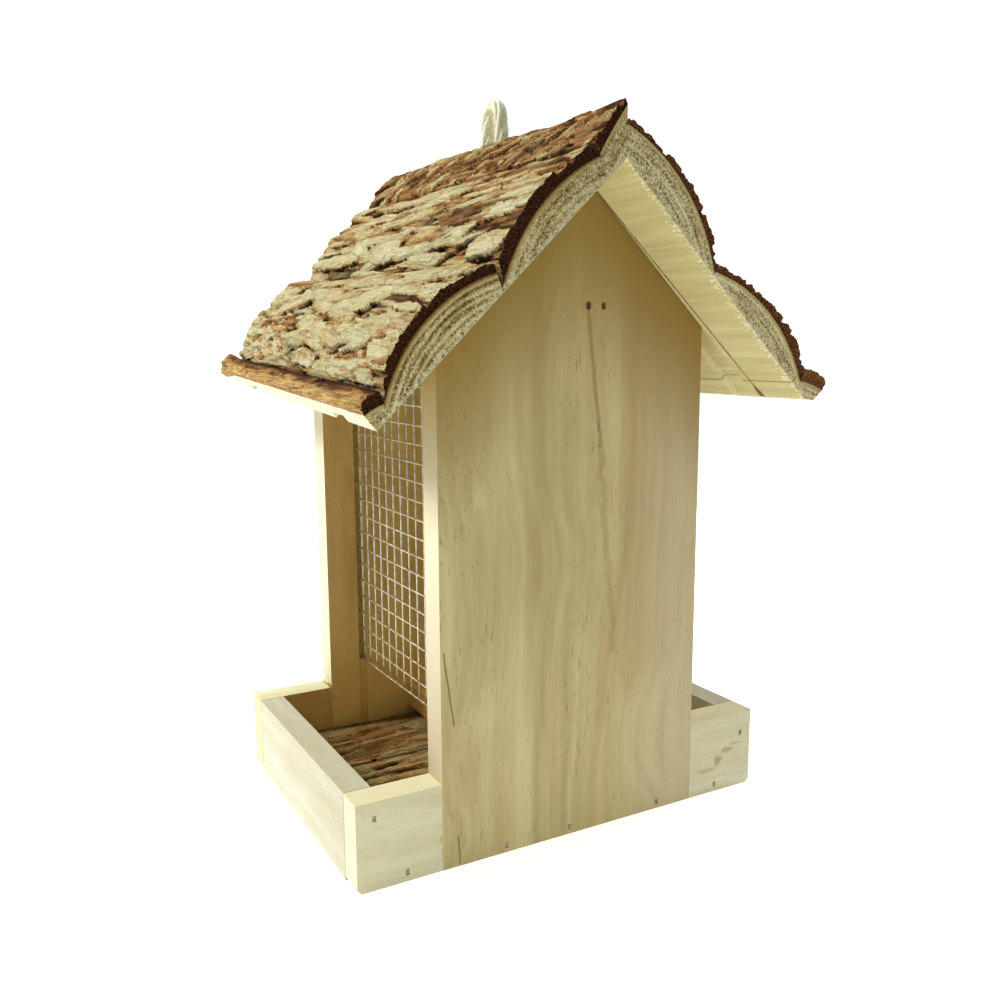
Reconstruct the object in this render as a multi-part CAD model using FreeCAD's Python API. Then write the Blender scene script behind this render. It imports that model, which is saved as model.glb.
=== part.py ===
"""Hopper bird feeder with a bark-slab roof, wire mesh sides and a rope hanging loop.

Millimetres. +Z is up, +Y runs along the roof ridge, +X is across the ridge.
The origin is the centre of the hopper's underside.
"""
import FreeCAD
import Part
import math
import os

V = FreeCAD.Vector

# ---- Hopper and tray -------------------------------------------------------
BOARD = 9.7                    # thickness of the gable boards and of the short tray rails
GABLE_WIDTH = 96.8
BODY_DEPTH = 107.8             # outer face of one gable to outer face of the other
TRAY_LENGTH = 152.6
TRAY_HEIGHT = 27.9
END_BOARD = 8.7                # thickness of the two long tray ends
CORNER_CHAMFER = 1.2
FLOOR_JOINT_Y = 8.0            # where the two floor slabs meet
FLOOR_WOOD = 10.6              # crest of the sawn wood under the floor's bark
FLOOR_WOOD_EDGE = 6.5
FLOOR_BARK = 14.7              # crest of the bark on the floor
FLOOR_BARK_EDGE = 11.5

HALF_WIDTH = GABLE_WIDTH / 2
HALF_DEPTH = BODY_DEPTH / 2
INNER_Y = HALF_DEPTH - BOARD
HALF_TRAY = TRAY_LENGTH / 2
INNER_X = HALF_TRAY - END_BOARD

# ---- Roof ------------------------------------------------------------------
SLOPE = math.radians(43.5)
UNDERSIDE_APEX = 210.2         # height of the line where the two undersides meet
ROOF_FRONT = -77.0
ROOF_BACK = 82.0
LEFT_TAPER = 0.91              # the left slabs narrow to this share of their width at the back
GROOVE_DEPTH = 2.2             # cross grooves in the undersides that the gable tops sit in
SEAT_GAP = 0.3
GROOVE_SIDE_GAP = 0.35

# ---- Wire mesh -------------------------------------------------------------
CELL = 6.35                    # quarter-inch welded mesh
WIRE = 0.7
MESH_INSET = 13.3              # from the gable's side edge to the mesh
MESH_BOTTOM = 37.9             # centre of the lowest wire
MESH_ROWS = 21
MESH_COLUMNS = 14
MESH_FRONT = -7.3 * CELL       # centre of the wire nearest the front gable
MESH_STUB_END = 46.6           # the cross wires end here, inside the back gable's groove
SLOT_WIDTH = 3.0               # upright slots in the gables that the mesh slides down
SLOT_DEPTH = 3.0
STOP_CLEARANCE = 0.1
MESH_X = HALF_WIDTH - MESH_INSET

# ---- Seed divider ----------------------------------------------------------
DIVIDER_WIDTH = 32.0
DIVIDER_SIDE = 9.0
DIVIDER_HEIGHT = 24.0

# ---- Rope, the bar it hangs from and its knots -----------------------------
ROPE_DIAMETER = 4.6
ROPE_X = 1.0
STRAND_Y = 4.6                 # each strand's distance from the middle of the loop
LOOP_TOP = 241.8
STRAND_CLEARANCE = 1.0         # between a strand and the roof
BAR_X = 6.3
BAR_Z = 171.0
BAR_WIDTH = 20.6
BAR_HEIGHT = 10.0
BAR_HOLE = 5.6                 # diameter of each strand's hole in the bar
KNOT_DIAMETER = 8.8
KNOT_Z = 161.2
KNOT_SQUASH = 0.9              # the knots pull up a little flatter than a ball

# ---- Brads -----------------------------------------------------------------
HEAD_LONG = 2.0
HEAD_SHORT = 1.25
HEAD_THICK = 1.2
SHANK = 1.0
BRAD_LENGTH = 19.0
RIDGE_BRAD_LENGTH = 13.0
BAR_BRAD_SUNK = 1.2            # the bar's brads stand this far below the gable's face

# Places on the front face, x then height; the back face repeats them.
FLOOR_BRADS = [(-25.9, 2.4), (-2.1, 2.4), (33.7, 2.4)]
BAR_BRADS = [(3.5, BAR_Z), (9.1, BAR_Z)]
RAIL_FLOOR_BRADS = [(-60.3, 3.0), (59.9, 2.6)]
RAIL_END_BRADS = [(-70.5, 22.6), (71.6, 19.8)]
RIDGE_BRADS_Y = [-62.0, -26.0, 26.0, 62.0]
RIDGE_BRAD_START = V(-5.5, 0, 214.4)

parts = {}


# ---- Shared shapes ---------------------------------------------------------
def block(x0, x1, y0, y1, z0, z1):
    return Part.makeBox(x1 - x0, y1 - y0, z1 - z0, V(x0, y0, z0))


def closed_wire(start, edges, place):
    """Wire from start through edges and back; place turns a flat point into a vector.

    An edge is (end,) for a straight line or (via, end) for an arc.
    """
    segments = []
    here = place(start)
    for edge in edges:
        there = place(edge[-1])
        if len(edge) == 1:
            segments.append(Part.LineSegment(here, there).toShape())
        else:
            segments.append(Part.Arc(here, place(edge[0]), there).toShape())
        here = there
    return Part.Wire(segments)


def prism(points, direction):
    wire = Part.makePolygon(points + [points[0]])
    return Part.Face(wire).extrude(direction)


def brad(head, direction, length):
    """T-headed brad with its head's outer face centred on head, driven along direction."""
    turn = FreeCAD.Rotation(V(0, 0, 1), direction)
    top = Part.makeBox(HEAD_SHORT, HEAD_LONG, HEAD_THICK, V(-HEAD_SHORT / 2, -HEAD_LONG / 2, 0))
    shank = Part.makeBox(SHANK, SHANK, length, V(-SHANK / 2, -SHANK / 2, 0))
    nail = top.fuse(shank).removeSplitter()
    nail.Placement = FreeCAD.Placement(head, turn)
    return nail


def brads_in_both_faces(places, sunk=0.0):
    brads = []
    for x, z in places:
        brads.append(brad(V(x, -HALF_DEPTH + sunk, z), V(0, 1, 0), BRAD_LENGTH))
        brads.append(brad(V(x, HALF_DEPTH - sunk, z), V(0, -1, 0), BRAD_LENGTH))
    return Part.makeCompound(brads)


# ---- Brads -----------------------------------------------------------------
parts["brads_gable_to_floor"] = brads_in_both_faces(FLOOR_BRADS)
parts["brads_gable_to_bar"] = brads_in_both_faces(BAR_BRADS, BAR_BRAD_SUNK)
parts["brads_rail_to_floor"] = brads_in_both_faces(RAIL_FLOOR_BRADS)
parts["brads_rail_to_end"] = brads_in_both_faces(RAIL_END_BRADS)
parts["brads_ridge"] = Part.makeCompound(
    [brad(RIDGE_BRAD_START + V(0, y, 0), V(1, 0, 0), RIDGE_BRAD_LENGTH) for y in RIDGE_BRADS_Y])
body_brads = [parts[name] for name in ("brads_gable_to_floor", "brads_gable_to_bar",
                                       "brads_rail_to_floor", "brads_rail_to_end")]
# The open holes above the sunk heads are as wide as the heads.
sink_holes = brads_in_both_faces(BAR_BRADS)
all_body_holes = Part.makeCompound(body_brads + [sink_holes])


# ---- Gables ----------------------------------------------------------------
GABLE_APEX = UNDERSIDE_APEX + (GROOVE_DEPTH - SEAT_GAP) / math.cos(SLOPE)
GABLE_SIDE = GABLE_APEX - HALF_WIDTH * math.tan(SLOPE)


def gable(y0, slot_y0):
    panel = prism([V(-HALF_WIDTH, y0, 0), V(HALF_WIDTH, y0, 0), V(HALF_WIDTH, y0, GABLE_SIDE),
                   V(0, y0, GABLE_APEX), V(-HALF_WIDTH, y0, GABLE_SIDE)], V(0, BOARD, 0))
    for side in (-1, 1):
        x0 = side * MESH_X - SLOT_WIDTH / 2
        panel = panel.cut(block(x0, x0 + SLOT_WIDTH, slot_y0, slot_y0 + SLOT_DEPTH, 0, GABLE_APEX))
    return panel.cut(all_body_holes)


parts["gable_front"] = gable(-HALF_DEPTH, -INNER_Y - SLOT_DEPTH)
parts["gable_back"] = gable(INNER_Y, INNER_Y)


# ---- Tray ------------------------------------------------------------------
def tray_rail(side, y0):
    """Short rail that carries a gable's face on to the end of the tray."""
    inner = side * HALF_WIDTH
    outer = side * HALF_TRAY
    points = [V(inner, y0, 0), V(outer - side * CORNER_CHAMFER, y0, 0), V(outer, y0, CORNER_CHAMFER),
              V(outer, y0, TRAY_HEIGHT), V(inner, y0, TRAY_HEIGHT)]
    return prism(points, V(0, BOARD, 0)).cut(all_body_holes)


def tray_end(side):
    x0, x1 = sorted((side * INNER_X, side * HALF_TRAY))
    return block(x0, x1, -INNER_Y, INNER_Y, 0, TRAY_HEIGHT).cut(all_body_holes)


for side, side_name in ((-1, "left"), (1, "right")):
    parts["tray_rail_front_" + side_name] = tray_rail(side, -HALF_DEPTH)
    parts["tray_rail_back_" + side_name] = tray_rail(side, INNER_Y)
    parts["tray_end_" + side_name] = tray_end(side)


# ---- Floor: two slab off-cuts, bark side up, grain along X ------------------
def floor_slab(name, y0, y1):
    middle = (y0 + y1) / 2

    def place(point):
        return V(-INNER_X, point[0], point[1])

    along = V(2 * INNER_X, 0, 0)
    wood = closed_wire((y0, 0), [((y0, FLOOR_WOOD_EDGE),),
                                 ((middle, FLOOR_WOOD), (y1, FLOOR_WOOD_EDGE)),
                                 ((y1, 0),),
                                 ((y0, 0),)], place)
    bark = closed_wire((y0, FLOOR_WOOD_EDGE), [((y0, FLOOR_BARK_EDGE),),
                                               ((middle, FLOOR_BARK), (y1, FLOOR_BARK_EDGE)),
                                               ((y1, FLOOR_WOOD_EDGE),),
                                               ((middle, FLOOR_WOOD), (y0, FLOOR_WOOD_EDGE))], place)
    parts["floor_slab_" + name] = Part.Face(wood).extrude(along).cut(all_body_holes)
    parts["floor_bark_" + name] = Part.Face(bark).extrude(along)


floor_slab("front", -INNER_Y, FLOOR_JOINT_Y)
floor_slab("back", FLOOR_JOINT_Y, INNER_Y)

# ---- Seed divider on the floor ---------------------------------------------
parts["seed_divider"] = prism(
    [V(-DIVIDER_WIDTH / 2, -INNER_Y, FLOOR_BARK), V(DIVIDER_WIDTH / 2, -INNER_Y, FLOOR_BARK),
     V(DIVIDER_WIDTH / 2, -INNER_Y, FLOOR_BARK + DIVIDER_SIDE),
     V(0, -INNER_Y, FLOOR_BARK + DIVIDER_HEIGHT),
     V(-DIVIDER_WIDTH / 2, -INNER_Y, FLOOR_BARK + DIVIDER_SIDE)], V(0, 2 * INNER_Y, 0))


# ---- Mesh panels and the sticks that they stand on --------------------------
def mesh_panel(x):
    """Welded square mesh as one flat grille; the cross wires run on as stubs at the back."""
    x0 = x - WIRE / 2
    front = MESH_FRONT - WIRE / 2
    back = MESH_FRONT + MESH_COLUMNS * CELL + WIRE / 2
    low = MESH_BOTTOM - WIRE / 2
    points = [V(x0, front, low)]
    for row in range(MESH_ROWS + 1):
        z = low + row * CELL
        points += [V(x0, back, z), V(x0, MESH_STUB_END, z),
                   V(x0, MESH_STUB_END, z + WIRE), V(x0, back, z + WIRE)]
    points.pop(1)
    points.pop()
    points += [V(x0, back, z + WIRE), V(x0, front, z + WIRE)]
    points.pop(-2)
    sheet = Part.Face(Part.makePolygon(points + [points[0]])).extrude(V(WIRE, 0, 0))
    gap = CELL - WIRE
    holes = []
    for column in range(MESH_COLUMNS):
        y = MESH_FRONT + WIRE / 2 + column * CELL
        for row in range(MESH_ROWS):
            z = MESH_BOTTOM + WIRE / 2 + row * CELL
            holes.append(block(x0, x0 + WIRE, y, y + gap, z, z + gap))
    return sheet.cut(Part.makeCompound(holes))


def mesh_stops(x):
    """Sticks that fill a pair of slots from the floor up to the mesh."""
    half = SLOT_WIDTH / 2 - STOP_CLEARANCE
    top = MESH_BOTTOM - WIRE / 2
    depth = SLOT_DEPTH - STOP_CLEARANCE
    return [block(x - half, x + half, -INNER_Y - depth, -INNER_Y, 0, top),
            block(x - half, x + half, INNER_Y, INNER_Y + depth, 0, top)]


parts["mesh_left"] = mesh_panel(-MESH_X)
parts["mesh_right"] = mesh_panel(MESH_X)
stop_sticks = Part.makeCompound(mesh_stops(-MESH_X) + mesh_stops(MESH_X))
parts["mesh_stop_sticks"] = stop_sticks.cut(parts["brads_gable_to_floor"])

# ---- Rope bar between the gables -------------------------------------------
bar = block(BAR_X - BAR_WIDTH / 2, BAR_X + BAR_WIDTH / 2, -INNER_Y, INNER_Y,
            BAR_Z - BAR_HEIGHT / 2, BAR_Z + BAR_HEIGHT / 2)
for y in (-STRAND_Y, STRAND_Y):
    bar = bar.cut(Part.makeCylinder(BAR_HOLE / 2, BAR_HEIGHT, V(ROPE_X, y, BAR_Z - BAR_HEIGHT / 2)))
parts["rope_bar"] = bar.cut(all_body_holes)

# ---- Hanging rope: up through the bar, round the loop and down again --------
LOOP_LINE = LOOP_TOP - ROPE_DIAMETER / 2
ROPE_ROUTE = [(1.0, -4.6, 164.8), (0.8, -4.7, 193.0), (1.1, -4.5, 222.0), (1.0, -4.6, LOOP_LINE),
              (1.0, 4.6, LOOP_LINE), (0.9, 4.7, 222.5), (1.2, 4.5, 192.0), (1.0, 4.6, 164.8)]
ARC_SHARE = 0.45               # share of the shorter run that an arc may take


def rounded_route(points):
    """Straight runs joined by the largest tangent arcs; also the length and the arcs' radii."""
    corners = [V(*point) for point in points]
    edges = []
    radii = []
    here = corners[0]
    for before, corner, after in zip(corners, corners[1:], corners[2:]):
        arriving = (corner - before).normalize()
        leaving = (after - corner).normalize()
        half_turn = arriving.getAngle(leaving) / 2
        reach = ARC_SHARE * min((corner - before).Length, (after - corner).Length)
        radius = reach / math.tan(half_turn)
        start = corner - arriving * reach
        end = corner + leaving * reach
        inward = (leaving - arriving).normalize()
        middle = corner + inward * (radius / math.cos(half_turn) - radius)
        edges.append(Part.LineSegment(here, start).toShape())
        edges.append(Part.Arc(start, middle, end).toShape())
        radii.append(radius)
        here = end
    edges.append(Part.LineSegment(here, corners[-1]).toShape())
    return Part.Wire(edges), radii


rope_path, rope_radii = rounded_route(ROPE_ROUTE)
section = Part.Wire(Part.makeCircle(ROPE_DIAMETER / 2, V(*ROPE_ROUTE[0]),
                                    V(*ROPE_ROUTE[1]) - V(*ROPE_ROUTE[0])))
parts["hanging_rope"] = rope_path.makePipeShell([section], True, False)
knots = []
for x, y, z in (ROPE_ROUTE[0], ROPE_ROUTE[-1]):
    knot = Part.makeSphere(KNOT_DIAMETER / 2)
    stretch = FreeCAD.Matrix()
    stretch.scale(V(1, 1, KNOT_SQUASH))
    knot = knot.transformGeometry(stretch)
    knot.translate(V(x, y, KNOT_Z))
    knots.append(knot.cut(parts["hanging_rope"]))
parts["rope_knots"] = Part.makeCompound(knots)


# ---- Roof slabs ------------------------------------------------------------
# A slab's end is drawn in the slope's own directions: along is the distance from the
# undersides' meeting line down the slope, and up is the height above the underside.
def on_slope(side, y, taper):
    def place(point):
        along, up = point
        if along > 0:
            along = along * taper
        across = along * math.cos(SLOPE) + up * math.sin(SLOPE)
        height = UNDERSIDE_APEX - along * math.sin(SLOPE) + up * math.cos(SLOPE)
        return V(side * across, y, height)
    return place


def ridge_point(up):
    """The point at a height above the underside that lies on the upright plane of the ridge."""
    return (-up * math.tan(SLOPE), up)


def between(side, taper, start, edges):
    front = closed_wire(start, edges, on_slope(side, ROOF_FRONT, 1.0))
    back = closed_wire(start, edges, on_slope(side, ROOF_BACK, taper))
    return Part.makeLoft([front, back], True, True)


def grooves(side):
    """Two cross grooves over the gables, open at the eave."""
    place = on_slope(side, -HALF_DEPTH - GROOVE_SIDE_GAP, 1.0)
    points = [place(point) for point in ((-4, -4), (112, -4), (112, GROOVE_DEPTH), ridge_point(GROOVE_DEPTH))]
    width = BOARD + 2 * GROOVE_SIDE_GAP
    front = prism(points, V(0, width, 0))
    back = front.copy()
    back.translate(V(0, INNER_Y + HALF_DEPTH, 0))
    return Part.makeCompound([front, back])


def rope_slot():
    """Slot along the ridge, with round ends, that both strands pass through."""
    radius = ROPE_DIAMETER / 2 + STRAND_CLEARANCE
    height = LOOP_TOP - KNOT_Z
    slot = block(ROPE_X - radius, ROPE_X + radius, -STRAND_Y, STRAND_Y, KNOT_Z, LOOP_TOP)
    for y in (-STRAND_Y, STRAND_Y):
        slot = slot.fuse(Part.makeCylinder(radius, height, V(ROPE_X, y, KNOT_Z)))
    return slot


class Slab:
    """One roof slab's end outline: sawn wood with a bark layer over it."""

    def __init__(self, name, foot_in, wood_in, wood_crest, wood_out, feet_out, bark_in, bark_crest, bark_out):
        self.name = name
        self.wood = [(wood_in,), (wood_crest, wood_out)] + [(foot,) for foot in feet_out] + [(foot_in,)]
        self.foot_in = foot_in
        self.wood_in = wood_in
        self.bark = [(bark_in,), (bark_crest, bark_out), (wood_out,), (wood_crest, wood_in)]


LEFT_SLABS = [
    Slab("ridge", (0, 0), ridge_point(10.3), (-1.8, 8.7), (6.3, 6.6), [(7.6, 0)],
         ridge_point(12.2), (-3.0, 12.0), (5.6, 10.2)),
    Slab("upper", (7.6, 0), (6.42, 6.0), (28.0, 9.0), (53.8, 1.2), [(54.4, 0)],
         (5.6, 10.2), (27.0, 12.6), (50.7, 8.3)),
    Slab("lower", (54.4, 0), (52.1, 5.2), (72.0, 10.4), (98.8, 3.6), [(99.4, 0)],
         (50.7, 8.3), (74.0, 13.6), (96.6, 7.4)),
    Slab("eave", (99.4, 0), (98.8, 3.6), (101.6, 4.6), (104.4, 5.2), [(104.8, 0)],
         (96.6, 7.4), (101.0, 8.6), (105.0, 7.2)),
]
RIGHT_SLABS = [
    Slab("upper", (0, 0), ridge_point(6.6), (14.0, 10.2), (44.0, 1.0), [(44.8, 0)],
         ridge_point(8.0), (14.0, 12.6), (44.6, 4.0)),
    Slab("lower", (44.8, 0), (44.7, 1.4), (64.0, 7.8), (94.0, 2.6), [(94.6, 0)],
         (44.6, 4.0), (68.0, 11.4), (93.6, 7.0)),
    Slab("eave", (94.6, 0), (94.0, 2.6), (98.8, 5.4), (103.6, 7.2), [(102.8, 2.2), (99.6, 0)],
         (93.6, 7.0), (98.5, 11.6), (104.6, 9.4)),
]

ridge_holes = Part.makeCompound([parts["brads_ridge"], rope_slot()])
for side, side_name, slabs, taper in ((-1, "left", LEFT_SLABS, LEFT_TAPER), (1, "right", RIGHT_SLABS, 1.0)):
    for slab in slabs:
        wood = between(side, taper, slab.foot_in, slab.wood)
        bark = between(side, taper, slab.wood_in, slab.bark)
        name = side_name + "_" + slab.name
        parts["roof_slab_" + name] = wood.cut(grooves(side)).cut(ridge_holes)
        parts["roof_bark_" + name] = bark.cut(grooves(side)).cut(ridge_holes)


# ---- Output ----------------------------------------------------------------
os.makedirs("parts", exist_ok=True)
for name, shape in parts.items():
    solids = shape.Solids
    print(name, len(solids), "valid" if shape.isValid() else "INVALID", round(shape.Volume, 1))
    Part.makeCompound(solids).exportStep("parts/" + name + ".step")
print("rope radii", [round(radius, 1) for radius in rope_radii])
print("rope length", round(rope_path.Length, 1), "volume ratio",
      round(parts["hanging_rope"].Volume / (rope_path.Length * math.pi * ROPE_DIAMETER ** 2 / 4), 4))
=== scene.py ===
"""Looks for a small bark-roofed hopper feeder: weathered bark, sawn wood, wire mesh and a rope loop."""
import math

import bpy
import numpy as np
from mathutils import Matrix, Vector


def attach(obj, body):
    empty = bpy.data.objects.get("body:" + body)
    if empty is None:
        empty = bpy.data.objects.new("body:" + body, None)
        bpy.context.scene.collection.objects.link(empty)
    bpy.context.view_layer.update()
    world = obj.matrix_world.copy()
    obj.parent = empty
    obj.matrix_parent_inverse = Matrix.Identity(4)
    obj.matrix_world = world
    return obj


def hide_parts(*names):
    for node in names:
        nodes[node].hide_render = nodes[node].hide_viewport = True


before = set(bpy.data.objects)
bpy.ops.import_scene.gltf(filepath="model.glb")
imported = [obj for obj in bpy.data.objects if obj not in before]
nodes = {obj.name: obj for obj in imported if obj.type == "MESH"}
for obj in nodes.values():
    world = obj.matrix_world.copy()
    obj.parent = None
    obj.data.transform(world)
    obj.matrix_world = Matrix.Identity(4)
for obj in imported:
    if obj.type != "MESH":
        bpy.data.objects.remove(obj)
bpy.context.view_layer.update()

scene = bpy.context.scene
MM = 0.001

# ---- Sizes shared with the CAD model, in mm --------------------------------
SLOPE = math.radians(43.5)
APEX = 210.2
ROOF_FRONT, ROOF_BACK = -77.0, 82.0
LEFT_TAPER = 0.91
HALF_WIDTH = 48.4
HALF_DEPTH = 53.9
INNER_Y = 44.2
INNER_X = 67.6
FLOOR_JOINT_Y = 8.0
BAR_Z = 171.0
CELL = 6.35
MESH_X = 35.1
MESH_BOTTOM = 37.9
MESH_ROWS, MESH_COLUMNS = 21, 14
MESH_FRONT = -7.3 * CELL
MESH_STUB_END = 46.6
ROPE_DIAMETER = 4.6
ROPE_X, STRAND_Y = 1.0, 4.6
ROPE_LOW = 164.8
KNOT_Z = 161.2
LOOP_TOP = 241.75
LOOP_LINE = 241.8 - ROPE_DIAMETER / 2
FULL_TURN = 2 * math.pi


# ---- Noise on grids --------------------------------------------------------
def lattice(ix, iy, seed):
    """Repeatable value from 0 to 1 for each whole-number grid point."""
    n = (ix * 374761393 + iy * 668265263 + seed * 974634777) & 0xFFFFFFFF
    n = ((n ^ (n >> 13)) * 1274126177) & 0xFFFFFFFF
    return ((n ^ (n >> 16)) & 0xFFFFFF) / 0xFFFFFF


def value_noise(x, y, seed, angular=False):
    """Value noise from -1 to 1; the angular kind has creases, like broken edges."""
    ix, iy = np.floor(x).astype(np.int64), np.floor(y).astype(np.int64)
    fx, fy = x - ix, y - iy
    if not angular:
        fx, fy = fx * fx * (3 - 2 * fx), fy * fy * (3 - 2 * fy)
    low = lattice(ix, iy, seed) * (1 - fx) + lattice(ix + 1, iy, seed) * fx
    high = lattice(ix, iy + 1, seed) * (1 - fx) + lattice(ix + 1, iy + 1, seed) * fx
    return 2 * (low * (1 - fy) + high * fy) - 1


def fractal(x, y, seed, octaves=4, angular=False):
    total, share, size = 0.0, 0.0, 1.0
    for octave in range(octaves):
        total = total + size * value_noise(x * 2 ** octave, y * 2 ** octave, seed + 17 * octave, angular)
        share += size
        size *= 0.55
    return total / share


def blurred(field, cells_a, cells_b):
    """Two passes of a box blur along each axis."""
    for axis, cells in ((0, cells_a), (1, cells_b)):
        cells = max(1, int(cells))
        for _ in range(2):
            pad = [(0, 0), (0, 0)]
            pad[axis] = (cells + 1, cells)
            total = np.cumsum(np.pad(field, pad, mode="edge"), axis=axis)
            top = np.take(total, range(2 * cells + 1, total.shape[axis]), axis=axis)
            low = np.take(total, range(0, total.shape[axis] - 2 * cells - 1), axis=axis)
            field = (top - low) / (2 * cells + 1)
    return field


def widened(field):
    """The highest value within one cell along each axis."""
    for axis in (0, 1):
        field = np.maximum(field, np.maximum(np.roll(field, -1, axis), np.roll(field, 1, axis)))
    return field


# ---- Node materials --------------------------------------------------------
def rgb(r, g, b):
    """A colour given in ordinary display values."""
    return tuple(((c / 255 + 0.055) / 1.055) ** 2.4 if c > 10 else c / 255 / 12.92 for c in (r, g, b)) + (1.0,)


def average(a, b):
    return [(p + q) / 2 for p, q in zip(a, b)]


class Value:
    """What a node gives, with arithmetic that adds math nodes."""

    def __init__(self, finish, socket):
        self.finish, self.socket = finish, socket

    def math(self, operation, a, b=None):
        return self.finish.out("ShaderNodeMath", {0: a, 1: b}, operation=operation)

    def __add__(self, other):
        return self.math("ADD", self, other)

    def __sub__(self, other):
        return self.math("SUBTRACT", self, other)

    def __mul__(self, other):
        return self.math("MULTIPLY", self, other)

    def __abs__(self):
        return self.math("ABSOLUTE", self)

    def sine(self):
        return self.math("SINE", self)

    def root(self):
        return self.math("SQRT", self)

    def angle_from(self, other):
        return self.math("ARCTAN2", self, other)

    def at_least(self, other):
        return self.math("MAXIMUM", self, other)


class Finish:
    """A node material with short calls for the nodes that the finishes share."""

    def __init__(self, name, roughness=0.7, metallic=0.0, specular=0.3):
        self.material = bpy.data.materials.new(name)
        self.material.use_nodes = True
        self.tree = self.material.node_tree
        self.shader = self.tree.nodes["Principled BSDF"]
        self.feed(self.shader, {"Roughness": roughness, "Metallic": metallic, "Specular IOR Level": specular})
        self.position = self.out("ShaderNodeTexCoord", {}, "Object")

    def feed(self, node, feeds):
        """Inputs of a node, each linked to a Value or set to a constant."""
        for place, value in feeds.items():
            if isinstance(value, Value):
                self.tree.links.new(value.socket, node.inputs[place])
            elif value is not None:
                node.inputs[place].default_value = value

    def out(self, kind, feeds, output=0, **settings):
        """The output of a new node, with its settings made and its inputs fed."""
        node = self.tree.nodes.new(kind)
        for key, value in settings.items():
            setattr(node, key, value)
        self.feed(node, feeds)
        return Value(self, node.outputs[output])

    def stretch(self, x, y, z, source=None):
        """Object position in mm, multiplied along each axis."""
        return self.out("ShaderNodeVectorMath", {0: source or self.position, 1: (x / MM, y / MM, z / MM)},
                        operation="MULTIPLY")

    def noise(self, where, detail=4.0, roughness=0.55, distortion=0.0):
        """Noise over a vector, or over the object position multiplied along each axis."""
        vector = where if isinstance(where, Value) else self.stretch(*where)
        return self.out("ShaderNodeTexNoise", {"Vector": vector, "Scale": 1.0, "Detail": detail,
                                               "Roughness": roughness, "Distortion": distortion})

    def attribute(self, name):
        return self.out("ShaderNodeAttribute", {}, "Fac", attribute_name=name)

    def between(self, value, low, high, to_low=0.0, to_high=1.0, smooth=False):
        """Value mapped from low..high to to_low..to_high, and held there outside."""
        return self.out("ShaderNodeMapRange", {"Value": value, "From Min": low, "From Max": high,
                                               "To Min": to_low, "To Max": to_high},
                        interpolation_type="SMOOTHSTEP" if smooth else "LINEAR")

    def ramp(self, value, stops):
        made = self.out("ShaderNodeValToRGB", {0: value})
        bands = made.socket.node.color_ramp.elements
        while len(bands) < len(stops):
            bands.new(0.5)
        for band, (place, colour) in zip(bands, stops):
            band.position = place
            band.color = rgb(*colour)
        return made

    def mix(self, share, a, b, blend="MIX"):
        a, b = (c if isinstance(c, Value) else rgb(*c) for c in (a, b))
        return self.out("ShaderNodeMix", {0: share, 6: a, 7: b}, 2, data_type="RGBA", blend_type=blend)

    def tint(self, colour, value, low, high, tone, strength=1.0, smooth=False):
        """Colour drawn towards a tone as the value goes from low to high."""
        return self.mix(self.between(value, low, high, 0.0, strength, smooth), colour, tone)

    def shade(self, colour, value, low, high, to_low, to_high):
        """Colour darkened or lightened by a value mapped to a grey multiplier."""
        grey = self.between(value, low, high, to_low, to_high)
        return self.out("ShaderNodeVectorMath", {0: colour, "Scale": grey}, operation="SCALE")

    def axes(self, source):
        """The three parts of a vector."""
        parts = self.out("ShaderNodeSeparateXYZ", {0: source}).socket.node.outputs
        return [Value(self, part) for part in parts]

    def place(self):
        """The object position's X, Y and Z in mm."""
        return self.axes(self.stretch(1, 1, 1))

    def facing(self, axis, sign=0, low=0.8):
        """Mask of the faces square to an axis; sign 0 takes both sides."""
        part = self.axes(self.out("ShaderNodeTexCoord", {}, "Normal"))["XYZ".index(axis)]
        return self.between(part * sign if sign else abs(part), low, low + 0.15)

    def finish(self, colour, height, depth_mm, rough=None):
        """The material, with its colour, its bump of a depth in mm, and its roughness."""
        self.feed(self.shader, {"Base Color": colour, "Roughness": rough})
        bump = self.out("ShaderNodeBump", {"Strength": 1.0, "Distance": depth_mm * MM, "Height": height})
        self.feed(self.shader, {"Normal": bump})
        return self.material


GRAIN_STRETCH = {"X": (0.04, 1.0, 1.0), "Y": (1.0, 0.04, 1.0), "Z": (1.0, 1.0, 0.04)}
GRAIN_BEND = 26 * MM


def scaled(grain, amount, offset=1.0):
    return [amount * s if s == 1.0 else amount * s * offset for s in GRAIN_STRETCH[grain]]


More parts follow.
